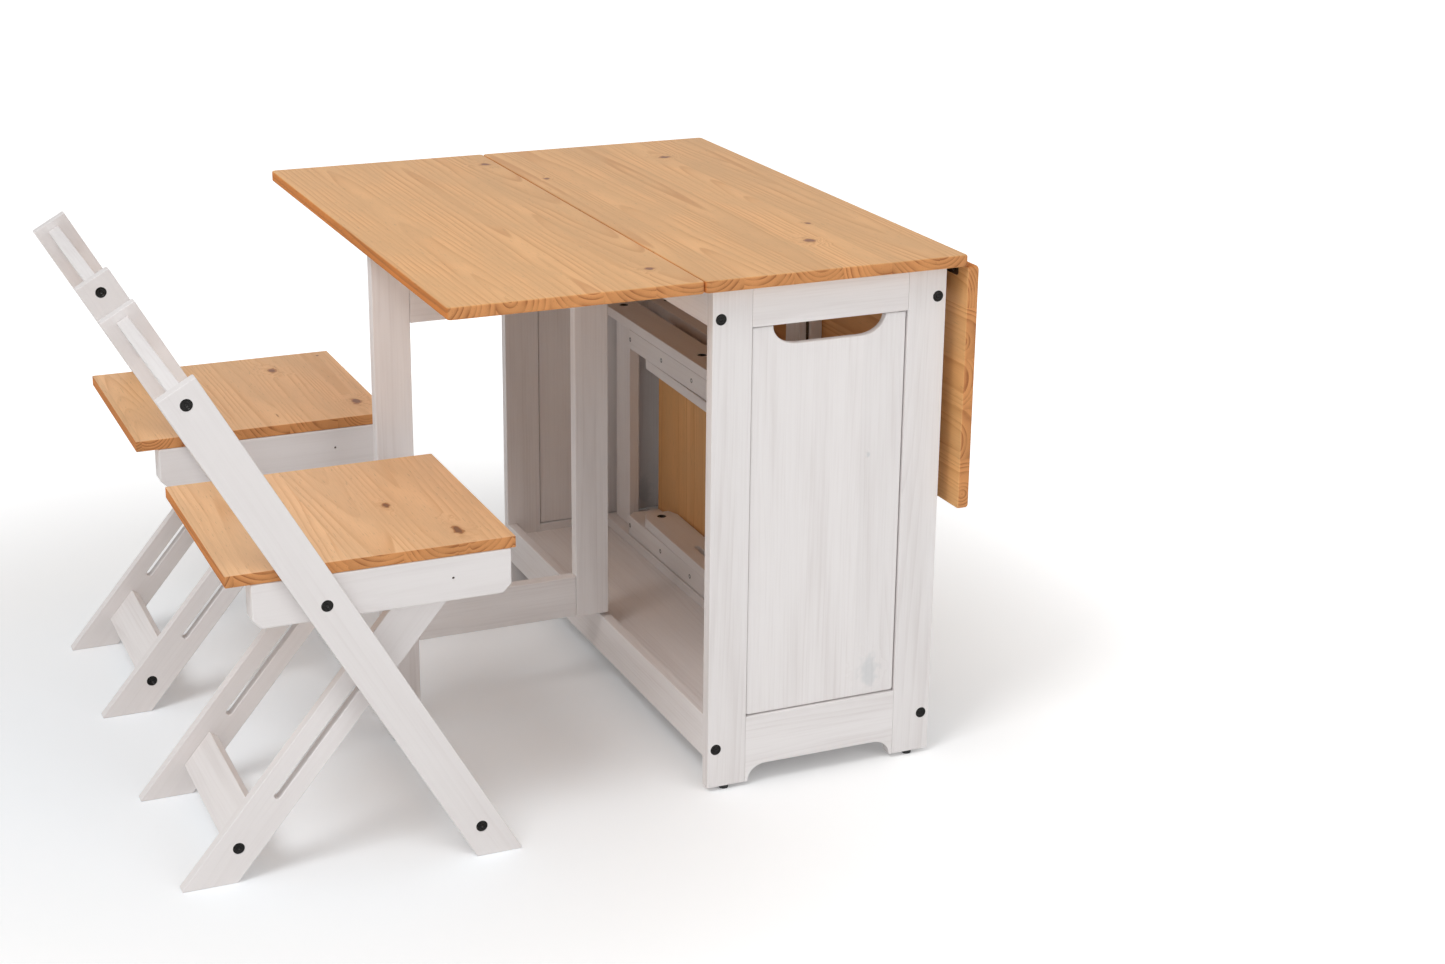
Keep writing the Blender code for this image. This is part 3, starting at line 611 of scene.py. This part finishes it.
def painted_pine(name, origin, axes, thickness, knots=(), glued=False, figure=1.0):
    """Pine, planed and brushed with thin white paint.

    It gives a soft warm white in which the grain still shows as faint grey and pinkish lines, blue-grey
    shadows of knots, and a fine combed surface. figure is how strongly the grain shows.
    """
    wood = bpy.context.scene.dining_wood
    material, add, shader = started(f"painted_pine_{name}")
    where, square = grain_space(add, origin, axes)
    width = wood.plank * 1.2 if glued else 0
    tone, chance, near = growth_rings(add, where, seed_of(name), wood.ring * 1.1, width, thickness, knots)
    end = add("MapRange", add("SeparateXYZ", square), 0.45, 0.8, 0.0, 0.25, **SMOOTH)
    patches, combed, fibre = grain_patterns(add, where, (3, 26, 3), (9, 330, 3), (30, 1500, 2))
    thin = add("MapRange", patches, 0.35, 0.7, 0.06, 0.30, **SMOOTH)
    sunk = add("Math", tone, thin, end, **TIMES_PLUS)
    for pattern, low, share in ((combed, 0.42, 0.20), (patches, 0.4, 0.30)):
        sunk = add("Math", sunk, add("MapRange", pattern, low, 0.75, 0.0, share, **SMOOTH))
    sunk = add("Math", sunk, figure, 0.36 * (1 - figure), **TIMES_PLUS)
    body = add("Mix", sunk, in_6=wood.paint, in_7=wood.paint_low, **COLOURS)
    tint = add("Math", chance, 0.04, 0.97, **TIMES_PLUS)
    body = add("VectorMath", body, operation="SCALE", in_Scale=tint)
    if near:
        shadow = add("MapRange", near, 0.0, 1.0, 0.0, 0.34)
        body = add("Mix", shadow, in_6=body, in_7=wood.paint_knot, **COLOURS)
    height = add("Math", fibre, 0.5, combed, **TIMES_PLUS)
    height = add("Math", tone, -0.35, height, **TIMES_PLUS)
    fill(shader, {
        "Base Color": body, "Roughness": add("MapRange", combed, 0.3, 0.7, 0.50, 0.60, **SMOOTH),
        "Normal": add("Bump", in_Height=height, in_Strength=0.14, in_Distance=0.0006), "IOR": 1.48,
    })
    return material


def fitting(name):
    """A fitting's metal or nylon: its surface is a little uneven, and rubbed brighter in places."""
    if name in bpy.data.materials:
        return bpy.data.materials[name]
    dark, light, rough, metallic, grain = FITTINGS[name]
    material, add, shader = started(name)
    cloud = add("TexNoise", add("TexCoord", out="Object"), in_Scale=grain, in_Detail=3, in_Roughness=0.6)
    rubbed = add("MapRange", cloud, 0.4, 0.75, **SMOOTH)
    fill(shader, {
        "Base Color": add("Mix", rubbed, in_6=linear(dark), in_7=linear(light), **COLOURS),
        "Roughness": add("MapRange", cloud, 0.3, 0.7, rough * 0.85, rough * 1.2, **SMOOTH),
        "Normal": add("Bump", in_Height=cloud, in_Strength=0.08, in_Distance=0.0002), "Metallic": metallic,
    })
    return material


# Fittings


def bolt(name, middle, outward, body, sunk=0.0):
    """A furniture bolt's head: a flat cap with a rounded rim, a ring turned into it and a hexagon socket."""
    profile = np.array(BOLT_HEAD) * (dining_sizes().bolt_head / 2, 1)
    start = middle - sunk * np.array(outward)
    turned(name, profile, start, outward, fitting("blackened_steel"), body, sides=36, socket=11)


def screw(name, middle, outward, body, radius=SCREW_RADIUS):
    """A countersunk screw's head: a shallow dome with a hexagonal recess in its middle."""
    profile = np.array(SCREW_HEAD) * (radius, 1)
    turned(name, profile, middle, outward, fitting("zinc_plated_steel"), body, sides=18, socket=4)


def rod(name, start, stop, radius, body, nodes=(), knuckle=0.0):
    """A steel rod with a small chamfer at each end, and for a hinge a groove between its knuckles."""
    axis = np.subtract(stop, start)
    run = np.linalg.norm(axis)
    cut = radius * 0.15
    joints = np.linspace(0, run, max(3, round(run / knuckle)) + 1)[1:-1] if knuckle else ()
    grooves = [(radius * share, joint + off) for joint in joints for share, off in GROOVE]
    profile = [(radius - cut, 0), (radius, cut), *grooves, (radius, run - cut), (radius - cut, run)]
    turned(name, profile, start, axis, fitting("bronzed_steel"), body, nodes, sides=24)


def bolt_pit(place, face):
    """The counterbore in which a bolt's head sits."""
    return place, dining_sizes().bolt_head / 2 + PIT["clearance"], PIT["depth"], face


def wing(name, axis, out, face, place, half, holes, body):
    """A hinge's wing: a thin plate with rounded corners and countersunk screws.

    out points away from the barrel, and face is the side that the screws' heads are on. place is how far
    the plate's middle is from the hinge's axis along out and face. holes are the screws' places, as
    shares of half the length and distances outwards.
    """
    origin = axis + place[0] * out + place[1] * face
    axes = np.array([np.cross(out, face), out, face])
    outline = oblong(half, min(0.003, half[1] * 0.6))
    steel = fitting("bronzed_steel")
    slab(name, outline, -half[2], half[2], half[2] * 0.3, (origin, axes), steel, body)
    for k, (share, off) in enumerate(holes):
        hole = origin + np.array([share * half[0], off, half[2]]) @ axes
        screw(f"{name}_screw_{k + 1}", hole, face, body)


def barrel(name, axis, reach):
    rod(f"{name}_barrel", axis - reach, axis + reach, BARREL_RADIUS, "table", (name,), dining_sizes().knuckle)


# Table


def arc(start, stop, steps=10):
    """Points on a quarter of an ellipse that leaves start upright and reaches stop level."""
    turn = np.linspace(0, math.pi / 2, steps)
    across = stop[0] + (start[0] - stop[0]) * np.cos(turn)
    return np.stack([across, start[1] + (stop[1] - start[1]) * np.sin(turn)], 1)


def end_board(name, way, shape, grain, knots=()):
    """A board of an end whose outline isn't a plain one, drawn upright; one with knots is glued up."""
    middle, half = packed(name)
    outline, edge = shape(half[0], middle[2] - half[2], middle[2] + half[2])
    marks = [(height - middle[2], *rest) for height, *rest in knots]
    material = painted_pine(name, middle, grain, way * half[1], marks, len(marks) > 0)
    lay = (middle * (1, 1, 0), np.array([X, Z, -Y]))
    slab(f"{name}_board", outline, -half[1], half[1], edge, lay, material, "table", (name,))


def panel_outline(half, low, high):
    """The panel's outline and its rounding at each point: the hand-hole let into its top edge is rounder.

    Each side of the hand-hole is a quarter of an ellipse, and the rounding grows over its first 8 mm.
    """
    half, low, high = half - PANEL_SEAM, low + PANEL_SEAM, high - PANEL_SEAM
    dip = arc((HAND_HOLE["half"], high), (HAND_HOLE["flat"], high - HAND_HOLE["depth"]))
    corners = rounded([(half, high - 0.01), (-half, high - 0.01), (-half, low), (half, low)], PANEL_CORNER)
    bottom = corners[len(corners) // 2:]
    outline = np.concatenate([[(half, high)], dip, dip[::-1] * (-1, 1), [(-half, high)], bottom])
    depth = np.clip((high - outline[:, 1]) / HAND_HOLE["blend"], 0, 1)
    depth *= np.abs(outline[:, 0]) < HAND_HOLE["half"] + GAP
    plain, round_edge = dining_sizes().panel_edge, dining_sizes().hole_edge
    return outline, plain + (round_edge - plain) * depth


def rail_outline(half, low, high):
    """The bottom rail's outline and rounding: quarters of ellipses rise from its feet to a long flat."""
    rise = arc((half - ARCH["foot"], low), (ARCH["flat"], ARCH["rise"]), 12)
    outline = [[(half, high), (-half, high), (-half, low)], rise * (-1, 1), rise[::-1], [(half, low)]]
    return np.concatenate(outline), dining_sizes().frame_edge


def stile(name, way):
    """An upright of an end, with the black glide under its foot and bolts in its outer face."""
    middle, box = packed(name)
    origin = middle + (0, 0, GLIDE_HEIGHT / 2)
    axes = np.array([Z, X, Y])
    half = np.array([box[2] - GLIDE_HEIGHT / 2, box[0], box[1]])
    material = painted_pine(name, origin, axes, half[2])
    x = MIDDLE_X + math.copysign(END_BOLT["across"], middle[0] - MIDDLE_X)
    levels = ("upper", "lower")
    pits = [bolt_pit((END_BOLT[level] - origin[2], x - origin[0]), int(way)) for level in levels]
    edge, lay = dining_sizes().frame_edge, (origin, axes)
    outline = oblong(half, edge * CORNER_SHARE)
    slab(f"{name}_board", outline, -half[2], half[2], edge, lay, material, "table", (name,), pits=pits)
    turned(f"{name}_glide", GLIDE_PROFILE, middle * (1, 1, 0), Z, fitting("moulded_nylon"), "table")
    for level in levels:
        place = (x, way * (END_FACE + END_BOLT["proud"]), END_BOLT[level])
        bolt(f"{name}_{level}_bolt", place, (0, way, 0), "table")


def butt_hinge(name, way, leaf):
    """A barrel under a leaf's joint, with a wing under the centre top and one on the leaf."""
    middle, box = packed(name)
    axis = np.array([MIDDLE_X + way * BUTT_HINGE["across"], middle[1], UNDERSIDE])
    barrel(name, axis, box[1] * Y)
    half = np.array([box[1], *BUTT_HINGE["wing"]])
    place = BUTT_HINGE["reach"], GAP + half[2]
    wing(f"{name}_fixed_wing", axis, -way * X, -Z, place, half, BUTT_HINGE["screws"], "table")
    out, face = (way * X, -Z) if leaf == "left_leaf" else (-Z, -X)
    wing(f"{name}_moving_wing", axis, out, face, place, half, BUTT_HINGE["screws"], leaf)


def strip_hinge(name, way):
    """A long barrel beside a gate's upright, with a wing on it and, where the gate is open, on its stile.

    The wings close face to face, so their screws are staggered.
    """
    middle, box = packed(name)
    axis = np.array([MIDDLE_X + way * STRIP_HINGE["across"], STRIP_HINGE["along"], middle[2]])
    barrel(name, axis, box[2] * Z)
    half = np.array([box[2], *STRIP_HINGE["wing"]])
    wings = [("fixed", Y, way * X, "screws", "table"), ("moving", way * X, Y, "staggered", "left_gate")]
    for (part, out, face, screws, body), back in zip(wings, STRIP_HINGE["set_back"]):
        if part == "fixed" or name == "left_gate_hinge":
            holes = [(share, STRIP_HINGE["off"]) for share in STRIP_HINGE[screws]]
            wing(f"{name}_{part}_wing", axis, out, face, (STRIP_HINGE["reach"], -back), half, holes, body)


# Chairs


def turn_y(angle):
    """A turn that carries X towards Z by an angle."""
    return np.array(Matrix.Rotation(-angle, 3, "Y"))


def leg_heading(angle):
    """The rear legs' direction from X towards Z once the seat has swung up by an angle."""
    run = -SLIDE_PIN["below"] * UP - turn_y(angle) @ LEG_PIVOT
    return math.atan2(run[2], run[0])


LEG_AT_REST = leg_heading(0)
DOWN = np.array([math.cos(LEG_AT_REST), 0, math.sin(LEG_AT_REST)])
ACROSS_LEG = np.array([DOWN[2], 0, -DOWN[0]])
LEG_BOLT = (PIVOT_HEIGHT + LEG_PIVOT[2] - LEG_BOLT_RISE) / -DOWN[2]


class Member:
    """A moving member of a chair: its turn and place in the room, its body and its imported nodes' names."""

    def __init__(self, name, turn, place, body, nodes):
        self.name, self.turn, self.place, self.body, self.nodes = name, turn, place, body, nodes

    def lay(self, point, s, t):
        """A plane in the room, through a point and along two directions that the chair's frame gives."""
        return self.at(point), np.array([s, t, np.cross(s, t)]) @ self.turn.T

    def at(self, point):
        return self.place + self.turn @ point

    def board(self, part, outline, low, high, edge, lay, finish, **holes):
        """A board whose outline lies in a plane, from one depth of it to another."""
        name, (origin, axes) = f"{self.name}_{part}", lay
        material = finish(name, origin + axes[2] * (low + high) / 2, axes, (high - low) / 2)
        nodes = (self.nodes.format(part=part),)
        slab(f"{name}_board", outline, low, high, edge, lay, material, self.body, nodes, **holes)


def flat_piece(member, part, outline, lay, faces, edge=None, slots=(), pits=(), bolts=()):
    """A painted board in the chair's X-Z plane, its grain along the plane's first direction.

    faces are its two faces' Y in the chair's frame. A pit is (place, radius, depth, the way of its face).
    A bolt is (its name, its place along the grain, its face's Y, the way of its face).
    """
    origin, axes = lay
    low, high = sorted(faces)
    pits = [*pits, *(bolt_pit((along, 0.0), way) for _, along, _, way in bolts)]
    if axes[2] @ member.turn @ Y < 0:
        low, high = -high, -low
        pits = [(place, radius, depth, -face) for place, radius, depth, face in pits]
    edge, finish = edge or dining_sizes().edge, partial(painted_pine, figure=CHAIR_FIGURE)
    member.board(part, outline, low, high, edge, lay, finish, slots=slots, pits=pits)
    for label, along, y, way in bolts:
        middle, outward = origin + along * axes[0] + member.turn @ (y * Y), member.turn @ (way * Y)
        bolt(f"{member.name}_{label}", middle, outward, member.body, PIT["sunk"])


def cross_piece(member, part, middle, up, size, finish=painted_pine, edge=None):
    """A straight board across the chair: size is half its length, its width along up, and its thickness."""
    half = np.array(size) / (1, 2, 2)
    edge, lay = edge or dining_sizes().edge, member.lay(middle, Y, up)
    member.board(part, oblong(half, edge * CORNER_SHARE), -half[2], half[2], edge, lay, finish)


def pin(member, part, point, faces, radius):
    """A steel pin across the chair, between two faces."""
    rod(f"{member.name}_{part}", *(member.at(point + y * Y) for y in faces), radius, member.body)


def chair_frame(member):
    """Leaning posts, crest slat and front stretcher, with their bolts and pins."""
    half, above = POST["width"] / 2, POST["above"]
    low, cut = -PIVOT_HEIGHT / math.cos(LEAN), half * math.tan(LEAN)
    outline = rounded([(low + cut, -half), (low - cut, half), (above, half), (above, -half)], BOARD_CORNER)
    bolts = {"crest": CREST["bolt"], "pivot": 0.0, "foot": -STRETCHER["bolt"]}
    lay = member.lay(np.zeros(3), UP, ACROSS)
    for side, hand in HANDS:
        outer = side * CHAIR_WIDTH / 2
        heads = [(f"{label}_bolt_{hand}", along, outer, side) for label, along in bolts.items()]
        flat_piece(member, f"post_{hand}", outline, lay, (side * POST_INNER, outer), bolts=heads)
        faces = side * (POST_INNER - SLIDE_PIN["set_in"]), side * (POST_INNER - APRON["thickness"])
        pin(member, f"slide_pin_{hand}", -SLIDE_PIN["below"] * UP, faces, SLIDE_PIN["radius"])
    reach = POST_INNER - GAP
    crest = (CREST["bolt"] + CREST["past"] - CREST["width"] / 2) * UP
    cross_piece(member, "crest_slat", crest, UP, (reach, CREST["width"], CREST["thickness"]))
    size = (reach, STRETCHER["width"], STRETCHER["thickness"])
    cross_piece(member, "front_stretcher", -STRETCHER["bolt"] * UP, UP, size)


def chair_seat(member, finish):
    """The seat board, glued up from planks across the chair, and the aprons under its sides."""
    size = (POST_INNER - SEAT["side_gap"], SEAT["front"] + SEAT["back"], SEAT["thickness"])
    middle = ((SEAT["front"] - SEAT["back"]) / 2, 0, SEAT["high"] - SEAT["thickness"] / 2)
    cross_piece(member, "seat", middle, X, size, finish, dining_sizes().seat_edge)
    high, low, cut = SEAT["high"] - SEAT["thickness"] - GAP, -APRON["low"], APRON["chamfer"]
    front, back = APRON["front"], -APRON["back"]
    lower = [(back, low + cut), (back + cut, low), (front - cut, low), (front, low + cut)]
    outline = rounded([(front, high), (back, high), *lower], APRON["corner"])
    outer = POST_INNER - GAP
    lay = member.lay(np.zeros(3), X, Z)
    for side, hand in HANDS:
        faces = side * (outer - APRON["set_in"]), side * (outer - APRON["thickness"] + APRON["cut_back"])
        pits = [(LEG_PIVOT[[0, 2]], *LEG_PIN["hole"], side)]
        flat_piece(member, f"apron_{hand}", outline, lay, faces, dining_sizes().apron_edge, pits=pits)
        for k, back_by in enumerate(APRON["screws"]):
            place = member.at((front - back_by, sum(faces) / 2, low))
            name = f"{member.name}_apron_screw_{hand}_{k + 1}"
            screw(name, place, member.turn @ -Z, member.body, APRON_SCREW_RADIUS)
        faces = side * (outer - LEG_PIN["deep"]), side * (outer - LEG_PIN["shallow"])
        pin(member, f"leg_pin_{hand}", LEG_PIVOT, faces, LEG_PIN["radius"])


def chair_legs(member):
    """The slotted rear legs, cut level at the floor, and their stretcher."""
    half = LEG["width"] / 2
    clip = half * math.sqrt(0.5)
    foot = -(PIVOT_HEIGHT + LEG_PIVOT[2]) / DOWN[2]
    slope = half * ACROSS_LEG[2] / DOWN[2]
    corners = [
        (0, half), (foot - slope, half), (foot + slope, -half), (0, -half), (-clip, -clip), (-clip, clip),
    ]
    start, stop = LEG["slot_start"], LEG_BOLT - LEG["slot_to_bolt"]
    turn = np.linspace(-math.pi / 2, math.pi / 2, 9)
    round_end = np.stack([np.cos(turn), np.sin(turn)], 1) * LEG["slot_width"] / 2
    slot = np.concatenate([round_end + (stop, 0), -round_end + (start, 0)])
    outer = POST_INNER - 2 * GAP - APRON["thickness"]
    inner = outer - LEG["thickness"]
    lay = member.lay(np.zeros(3), DOWN, ACROSS_LEG)
    for side, hand in HANDS:
        outline, faces = rounded(corners, BOARD_CORNER), (side * outer, side * inner)
        bolts = (f"leg_bolt_{hand}", LEG_BOLT, faces[0], side), (f"hinge_bolt_{hand}", 0.0, faces[1], -side)
        flat_piece(member, f"rear_leg_{hand}", outline, lay, faces, slots=[slot], bolts=bolts)
    middle = (LEG_BOLT + CREST["past"] - CREST["width"] / 2) * DOWN
    cross_piece(member, "rear_stretcher", middle, DOWN, (inner - GAP, CREST["width"], STRETCHER["thickness"]))


def build_chair(name, turn, place, angle, bodies, nodes, finish=oiled_pine):
    """One chair in its own frame's place, its seat swung up by an angle."""
    seat_turn = turn @ turn_y(angle)
    pivot = place + turn @ (0, 0, PIVOT_HEIGHT)
    leg_turn = turn @ turn_y((leg_heading(angle) - LEG_AT_REST) % math.tau)
    leg_place = pivot + seat_turn @ LEG_PIVOT
    chair_frame(Member(name, turn, pivot, bodies[0], nodes[0]))
    chair_seat(Member(name, seat_turn, pivot, bodies[1], nodes[1]), finish)
    chair_legs(Member(name, leg_turn, leg_place, bodies[2], nodes[2]))


# Studio


def lamp(name, place, aim, width, power):
    """A square lamp that stands at a place and shines towards another."""
    data = bpy.data.lights.new(name, "AREA")
    data.size, data.energy = width, power
    made = added(name, data)
    made.location = place
    made.rotation_euler = (Vector(aim) - Vector(place)).to_track_quat("-Z", "Y").to_euler()


def seen_directly(add):
    """One for what the camera sees, straight or in a shine or through glass, and nothing for light itself."""
    ray = add("LightPath").node.outputs
    seen = add("Math", ray["Is Camera Ray"], ray["Is Glossy Ray"], operation="MAXIMUM")
    return add("Math", seen, ray["Is Transmission Ray"], operation="MAXIMUM")


def build_floor():
    """A wide white floor that the camera sees fade into the pale room, through a colour and a glow that only
    the camera sees: painted light.
    """
    turn = np.arange(FLOOR_CORNERS) / FLOOR_CORNERS * math.tau
    rim = FLOOR_RADIUS * np.stack([np.cos(turn), np.sin(turn), 0 * turn], 1)
    mesh = bpy.data.meshes.new("studio_floor")
    mesh.from_pydata(rim.tolist(), [], [list(range(FLOOR_CORNERS))])
    material, add, shader = started("matt_white_floor")
    tree = material.node_tree
    tree.nodes.remove(shader)
    seen = seen_directly(add)
    away = add("VectorMath", add("TexCoord", out="Object"), FLOOR_MIDDLE, operation="DISTANCE", out="Value")
    beyond = add("MapRange", away, 0.3, 0.85, **SMOOTH)
    # Painted light: the camera sees a bluer floor near the table, which cools the warm shade there, and an
    # even grey farther out.
    pale = add("Mix", beyond, in_6=FLOOR_NEAR, in_7=FLOOR_FAR, **COLOURS)
    pale = add("Mix", seen, in_6=linear(FLOOR_LIT), in_7=pale, **COLOURS)
    # Painted light: a glow that only the camera sees, faint near the table where the shadows stay and strong
    # farther out, so that the floor fades to white.
    glare = add("MapRange", away, 0.65, 1.9, 0.11, 0.62, **SMOOTH)
    glow = add("Emission", in_Strength=add("Math", seen, glare, **TIMES))
    both = add("AddShader", add("BsdfDiffuse", in_Color=pale), glow)
    fill(tree.nodes["Material Output"], {"Surface": both})
    mesh.materials.append(material)
    added("studio_floor", mesh)


def build_room(sky):
    """A pale room, brighter overhead, that the camera sees as white."""
    world = bpy.data.worlds.new("pale_room")
    world.use_nodes = True
    add = partial(node, world.node_tree)
    above = add("SeparateXYZ", add("TexCoord", out="Generated"), out="Z")
    above = add("MapRange", above, 0.0, 0.9, sky * 0.55, sky * 1.7, **SMOOTH)
    level = add("Math", seen_directly(add), above, operation="MAXIMUM")
    fill(world.node_tree.nodes["Background"], {"Color": linear("FFFFFF"), "Strength": level})
    bpy.context.scene.world = world


def build_camera():
    """The photograph's view, with only as much shift as its framing needs."""
    data = bpy.data.cameras.new("camera")
    data.sensor_width = 36.0
    data.lens = LENS * data.sensor_width
    data.shift_x, data.shift_y = SHIFT
    data.clip_start, data.clip_end = 0.1, 100.0
    camera = added("camera", data)
    camera.location, camera.rotation_euler = CAMERA_PLACE, CAMERA_TURN
    bpy.context.scene.camera = camera
    bpy.context.scene.view_settings.view_transform = "Standard"


# Operators


class DINING_OT_top(bpy.types.Operator):
    """Build the centre top and its leaves, their knots given by their places in the room."""

    bl_idname = "dining.top"
    bl_label = "Top and leaves"

    def execute(self, context):
        for name, knots in TOP_KNOTS.items():
            origin, axes, _ = box_of(name, 1)
            marks = []
            for x, y, z, radius, stretch in knots:
                place = (np.array([MIDDLE_X + x, y, z]) - origin) @ axes.T
                marks.append((*place[:2], radius, stretch))
            body = "table" if name == "centre_top" else name
            plank(name, 1, oiled_pine, body, edge=dining_sizes().top_edge, corner=TOP_CORNER, knots=marks)
        return {"FINISHED"}


class DINING_OT_ends(bpy.types.Operator):
    """Build the two panelled ends with their bolts and glides."""

    bl_idname = "dining.ends"
    bl_label = "Panelled ends"

    def execute(self, context):
        for end, way in (("near", -1.0), ("far", 1.0)):
            for _, hand in HANDS:
                stile(f"{end}_end_{hand}_stile", way)
            plank(f"{end}_end_top_rail", 0, painted_pine, "table", edge=dining_sizes().frame_edge)
            end_board(f"{end}_end_bottom_rail", way, rail_outline, (X, Z, np.cross(X, Z)))
            end_board(f"{end}_end_panel", way, panel_outline, (Z, X, Y), PANEL_KNOTS)
        return {"FINISHED"}


class DINING_OT_sides(bpy.types.Operator):
    """Build the side rails, the gates' uprights and the storage floor."""

    bl_idname = "dining.sides"
    bl_label = "Sides and floor"

    def execute(self, context):
        for side in ("left", "right"):
            for part, along in (("side_top_rail", 1), ("side_bottom_rail", 1), ("gate_post", 2)):
                plank(f"{side}_{part}", along, painted_pine, "table")
        plank("storage_floor", 1, painted_pine, "table", glued=True)
        return {"FINISHED"}


class DINING_OT_gates(bpy.types.Operator):
    """Build the open left gate, whose rails run across the table, and the closed right one."""

    bl_idname = "dining.gates"
    bl_label = "Gates"

    def execute(self, context):
        for side, body, reach in (("left", "left_gate", 0), ("right", "table", 1)):
            for part, along in (("hinge_stile", 2), ("leg", 2), ("top_rail", reach), ("bottom_rail", reach)):
                plank(f"{side}_gate_{part}", along, painted_pine, body)
        return {"FINISHED"}


class DINING_OT_hinges(bpy.types.Operator):
    """Build the leaves' butt hinges and the gates' strip hinges."""

    bl_idname = "dining.hinges"
    bl_label = "Hinges"

    def execute(self, context):
        for side, way in (("left", -1.0), ("right", 1.0)):
            for end in ("near", "far"):
                butt_hinge(f"{side}_leaf_{end}_hinge", way, f"{side}_leaf")
            strip_hinge(f"{side}_gate_hinge", way)
        return {"FINISHED"}


class DINING_OT_open_chairs(bpy.types.Operator):
    """Build the two open chairs."""

    bl_idname = "dining.open_chairs"
    bl_label = "Open chairs"

    def execute(self, context):
        # pale lightens each seat's wood: partly paler planks, partly painted light.
        for side, label, pale in ((-1, "near", 1.0), (1, "far", 0.6)):
            name = f"chair_{label}"
            place = np.array([MIDDLE_X + CHAIR_PLACE[0], side * CHAIR_PLACE[1], 0])
            bodies = [f"{name}_{part}" for part in CHAIR_PARTS]
            seat = partial(oiled_pine, knots=SEAT_KNOTS[label], pale=pale)
            build_chair(name, np.eye(3), place, 0, bodies, [name + "_{part}"] * 3, seat)
        return {"FINISHED"}


class DINING_OT_stored_chairs(bpy.types.Operator):
    """Build the folded chairs, on their sides on the storage floor, back tops towards the far end."""

    bl_idname = "dining.stored_chairs"
    bl_label = "Stored chairs"

    def execute(self, context):
        s, c = math.sin(LEAN), math.cos(LEAN)
        turn = np.array([[-c, 0, -s], [-s, 0, c], [0, 1, 0]])
        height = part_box("storage_floor")[1].z + GAP + CHAIR_WIDTH / 2
        reach = END_BACK - STORED["behind"] - POST["above"]
        for k, label in enumerate(("inner", "outer")):
            name = f"stored_chair_{label}"
            pivot = np.array([MIDDLE_X + STORED["inner"] + k * STORED["apart"], reach, height])
            place = pivot - turn @ (0, 0, PIVOT_HEIGHT)
            nodes = [f"{name}_{part}" for part in CHAIR_PARTS]
            build_chair(name, turn, place, math.pi / 2 + LEAN, [name] * 3, nodes)
        return {"FINISHED"}


class DINING_OT_studio(bpy.types.Operator):
    """Build the floor, the pale room, three large soft lamps and the camera."""

    bl_idname = "dining.studio"
    bl_label = "Studio"

    def execute(self, context):
        studio = context.scene.dining_studio
        build_floor()
        build_room(studio.sky)
        for name, (place, aim, width) in LAMPS.items():
            lamp(f"{name}_lamp", place, aim, width, getattr(studio, name))
        build_camera()
        return {"FINISHED"}


class DINING_PT_panel(bpy.types.Panel):
    """The set's pieces and settings in the sidebar."""

    bl_idname = "DINING_PT_panel"
    bl_label = "Folding dining set"
    bl_space_type = "VIEW_3D"
    bl_region_type = "UI"
    bl_category = "Dining set"

    def draw(self, context):
        for step in STEPS:
            self.layout.operator(step.bl_idname)
        for name in SETTINGS:
            group = getattr(context.scene, name)
            for key in group.__annotations__:
                self.layout.prop(group, key)


STEPS = (
    DINING_OT_top, DINING_OT_ends, DINING_OT_sides, DINING_OT_gates, DINING_OT_hinges,
    DINING_OT_open_chairs, DINING_OT_stored_chairs, DINING_OT_studio,
)
SETTINGS = {"dining_wood": DiningWood, "dining_sizes": DiningSizes, "dining_studio": DiningStudio}
CLASSES = (*SETTINGS.values(), *STEPS, DINING_PT_panel)


def register():
    for made in CLASSES:
        bpy.utils.register_class(made)
    for name, group in SETTINGS.items():
        setattr(bpy.types.Scene, name, bpy.props.PointerProperty(type=group))


def unregister():
    for name in SETTINGS:
        delattr(bpy.types.Scene, name)
    for made in reversed(CLASSES):
        bpy.utils.unregister_class(made)


def main():
    register()
    bpy.ops.dining.top()
    bpy.ops.dining.ends()
    bpy.ops.dining.sides()
    bpy.ops.dining.gates()
    bpy.ops.dining.hinges()
    bpy.ops.dining.open_chairs()
    bpy.ops.dining.stored_chairs()
    bpy.ops.dining.studio()


if __name__ == "__main__":
    main()
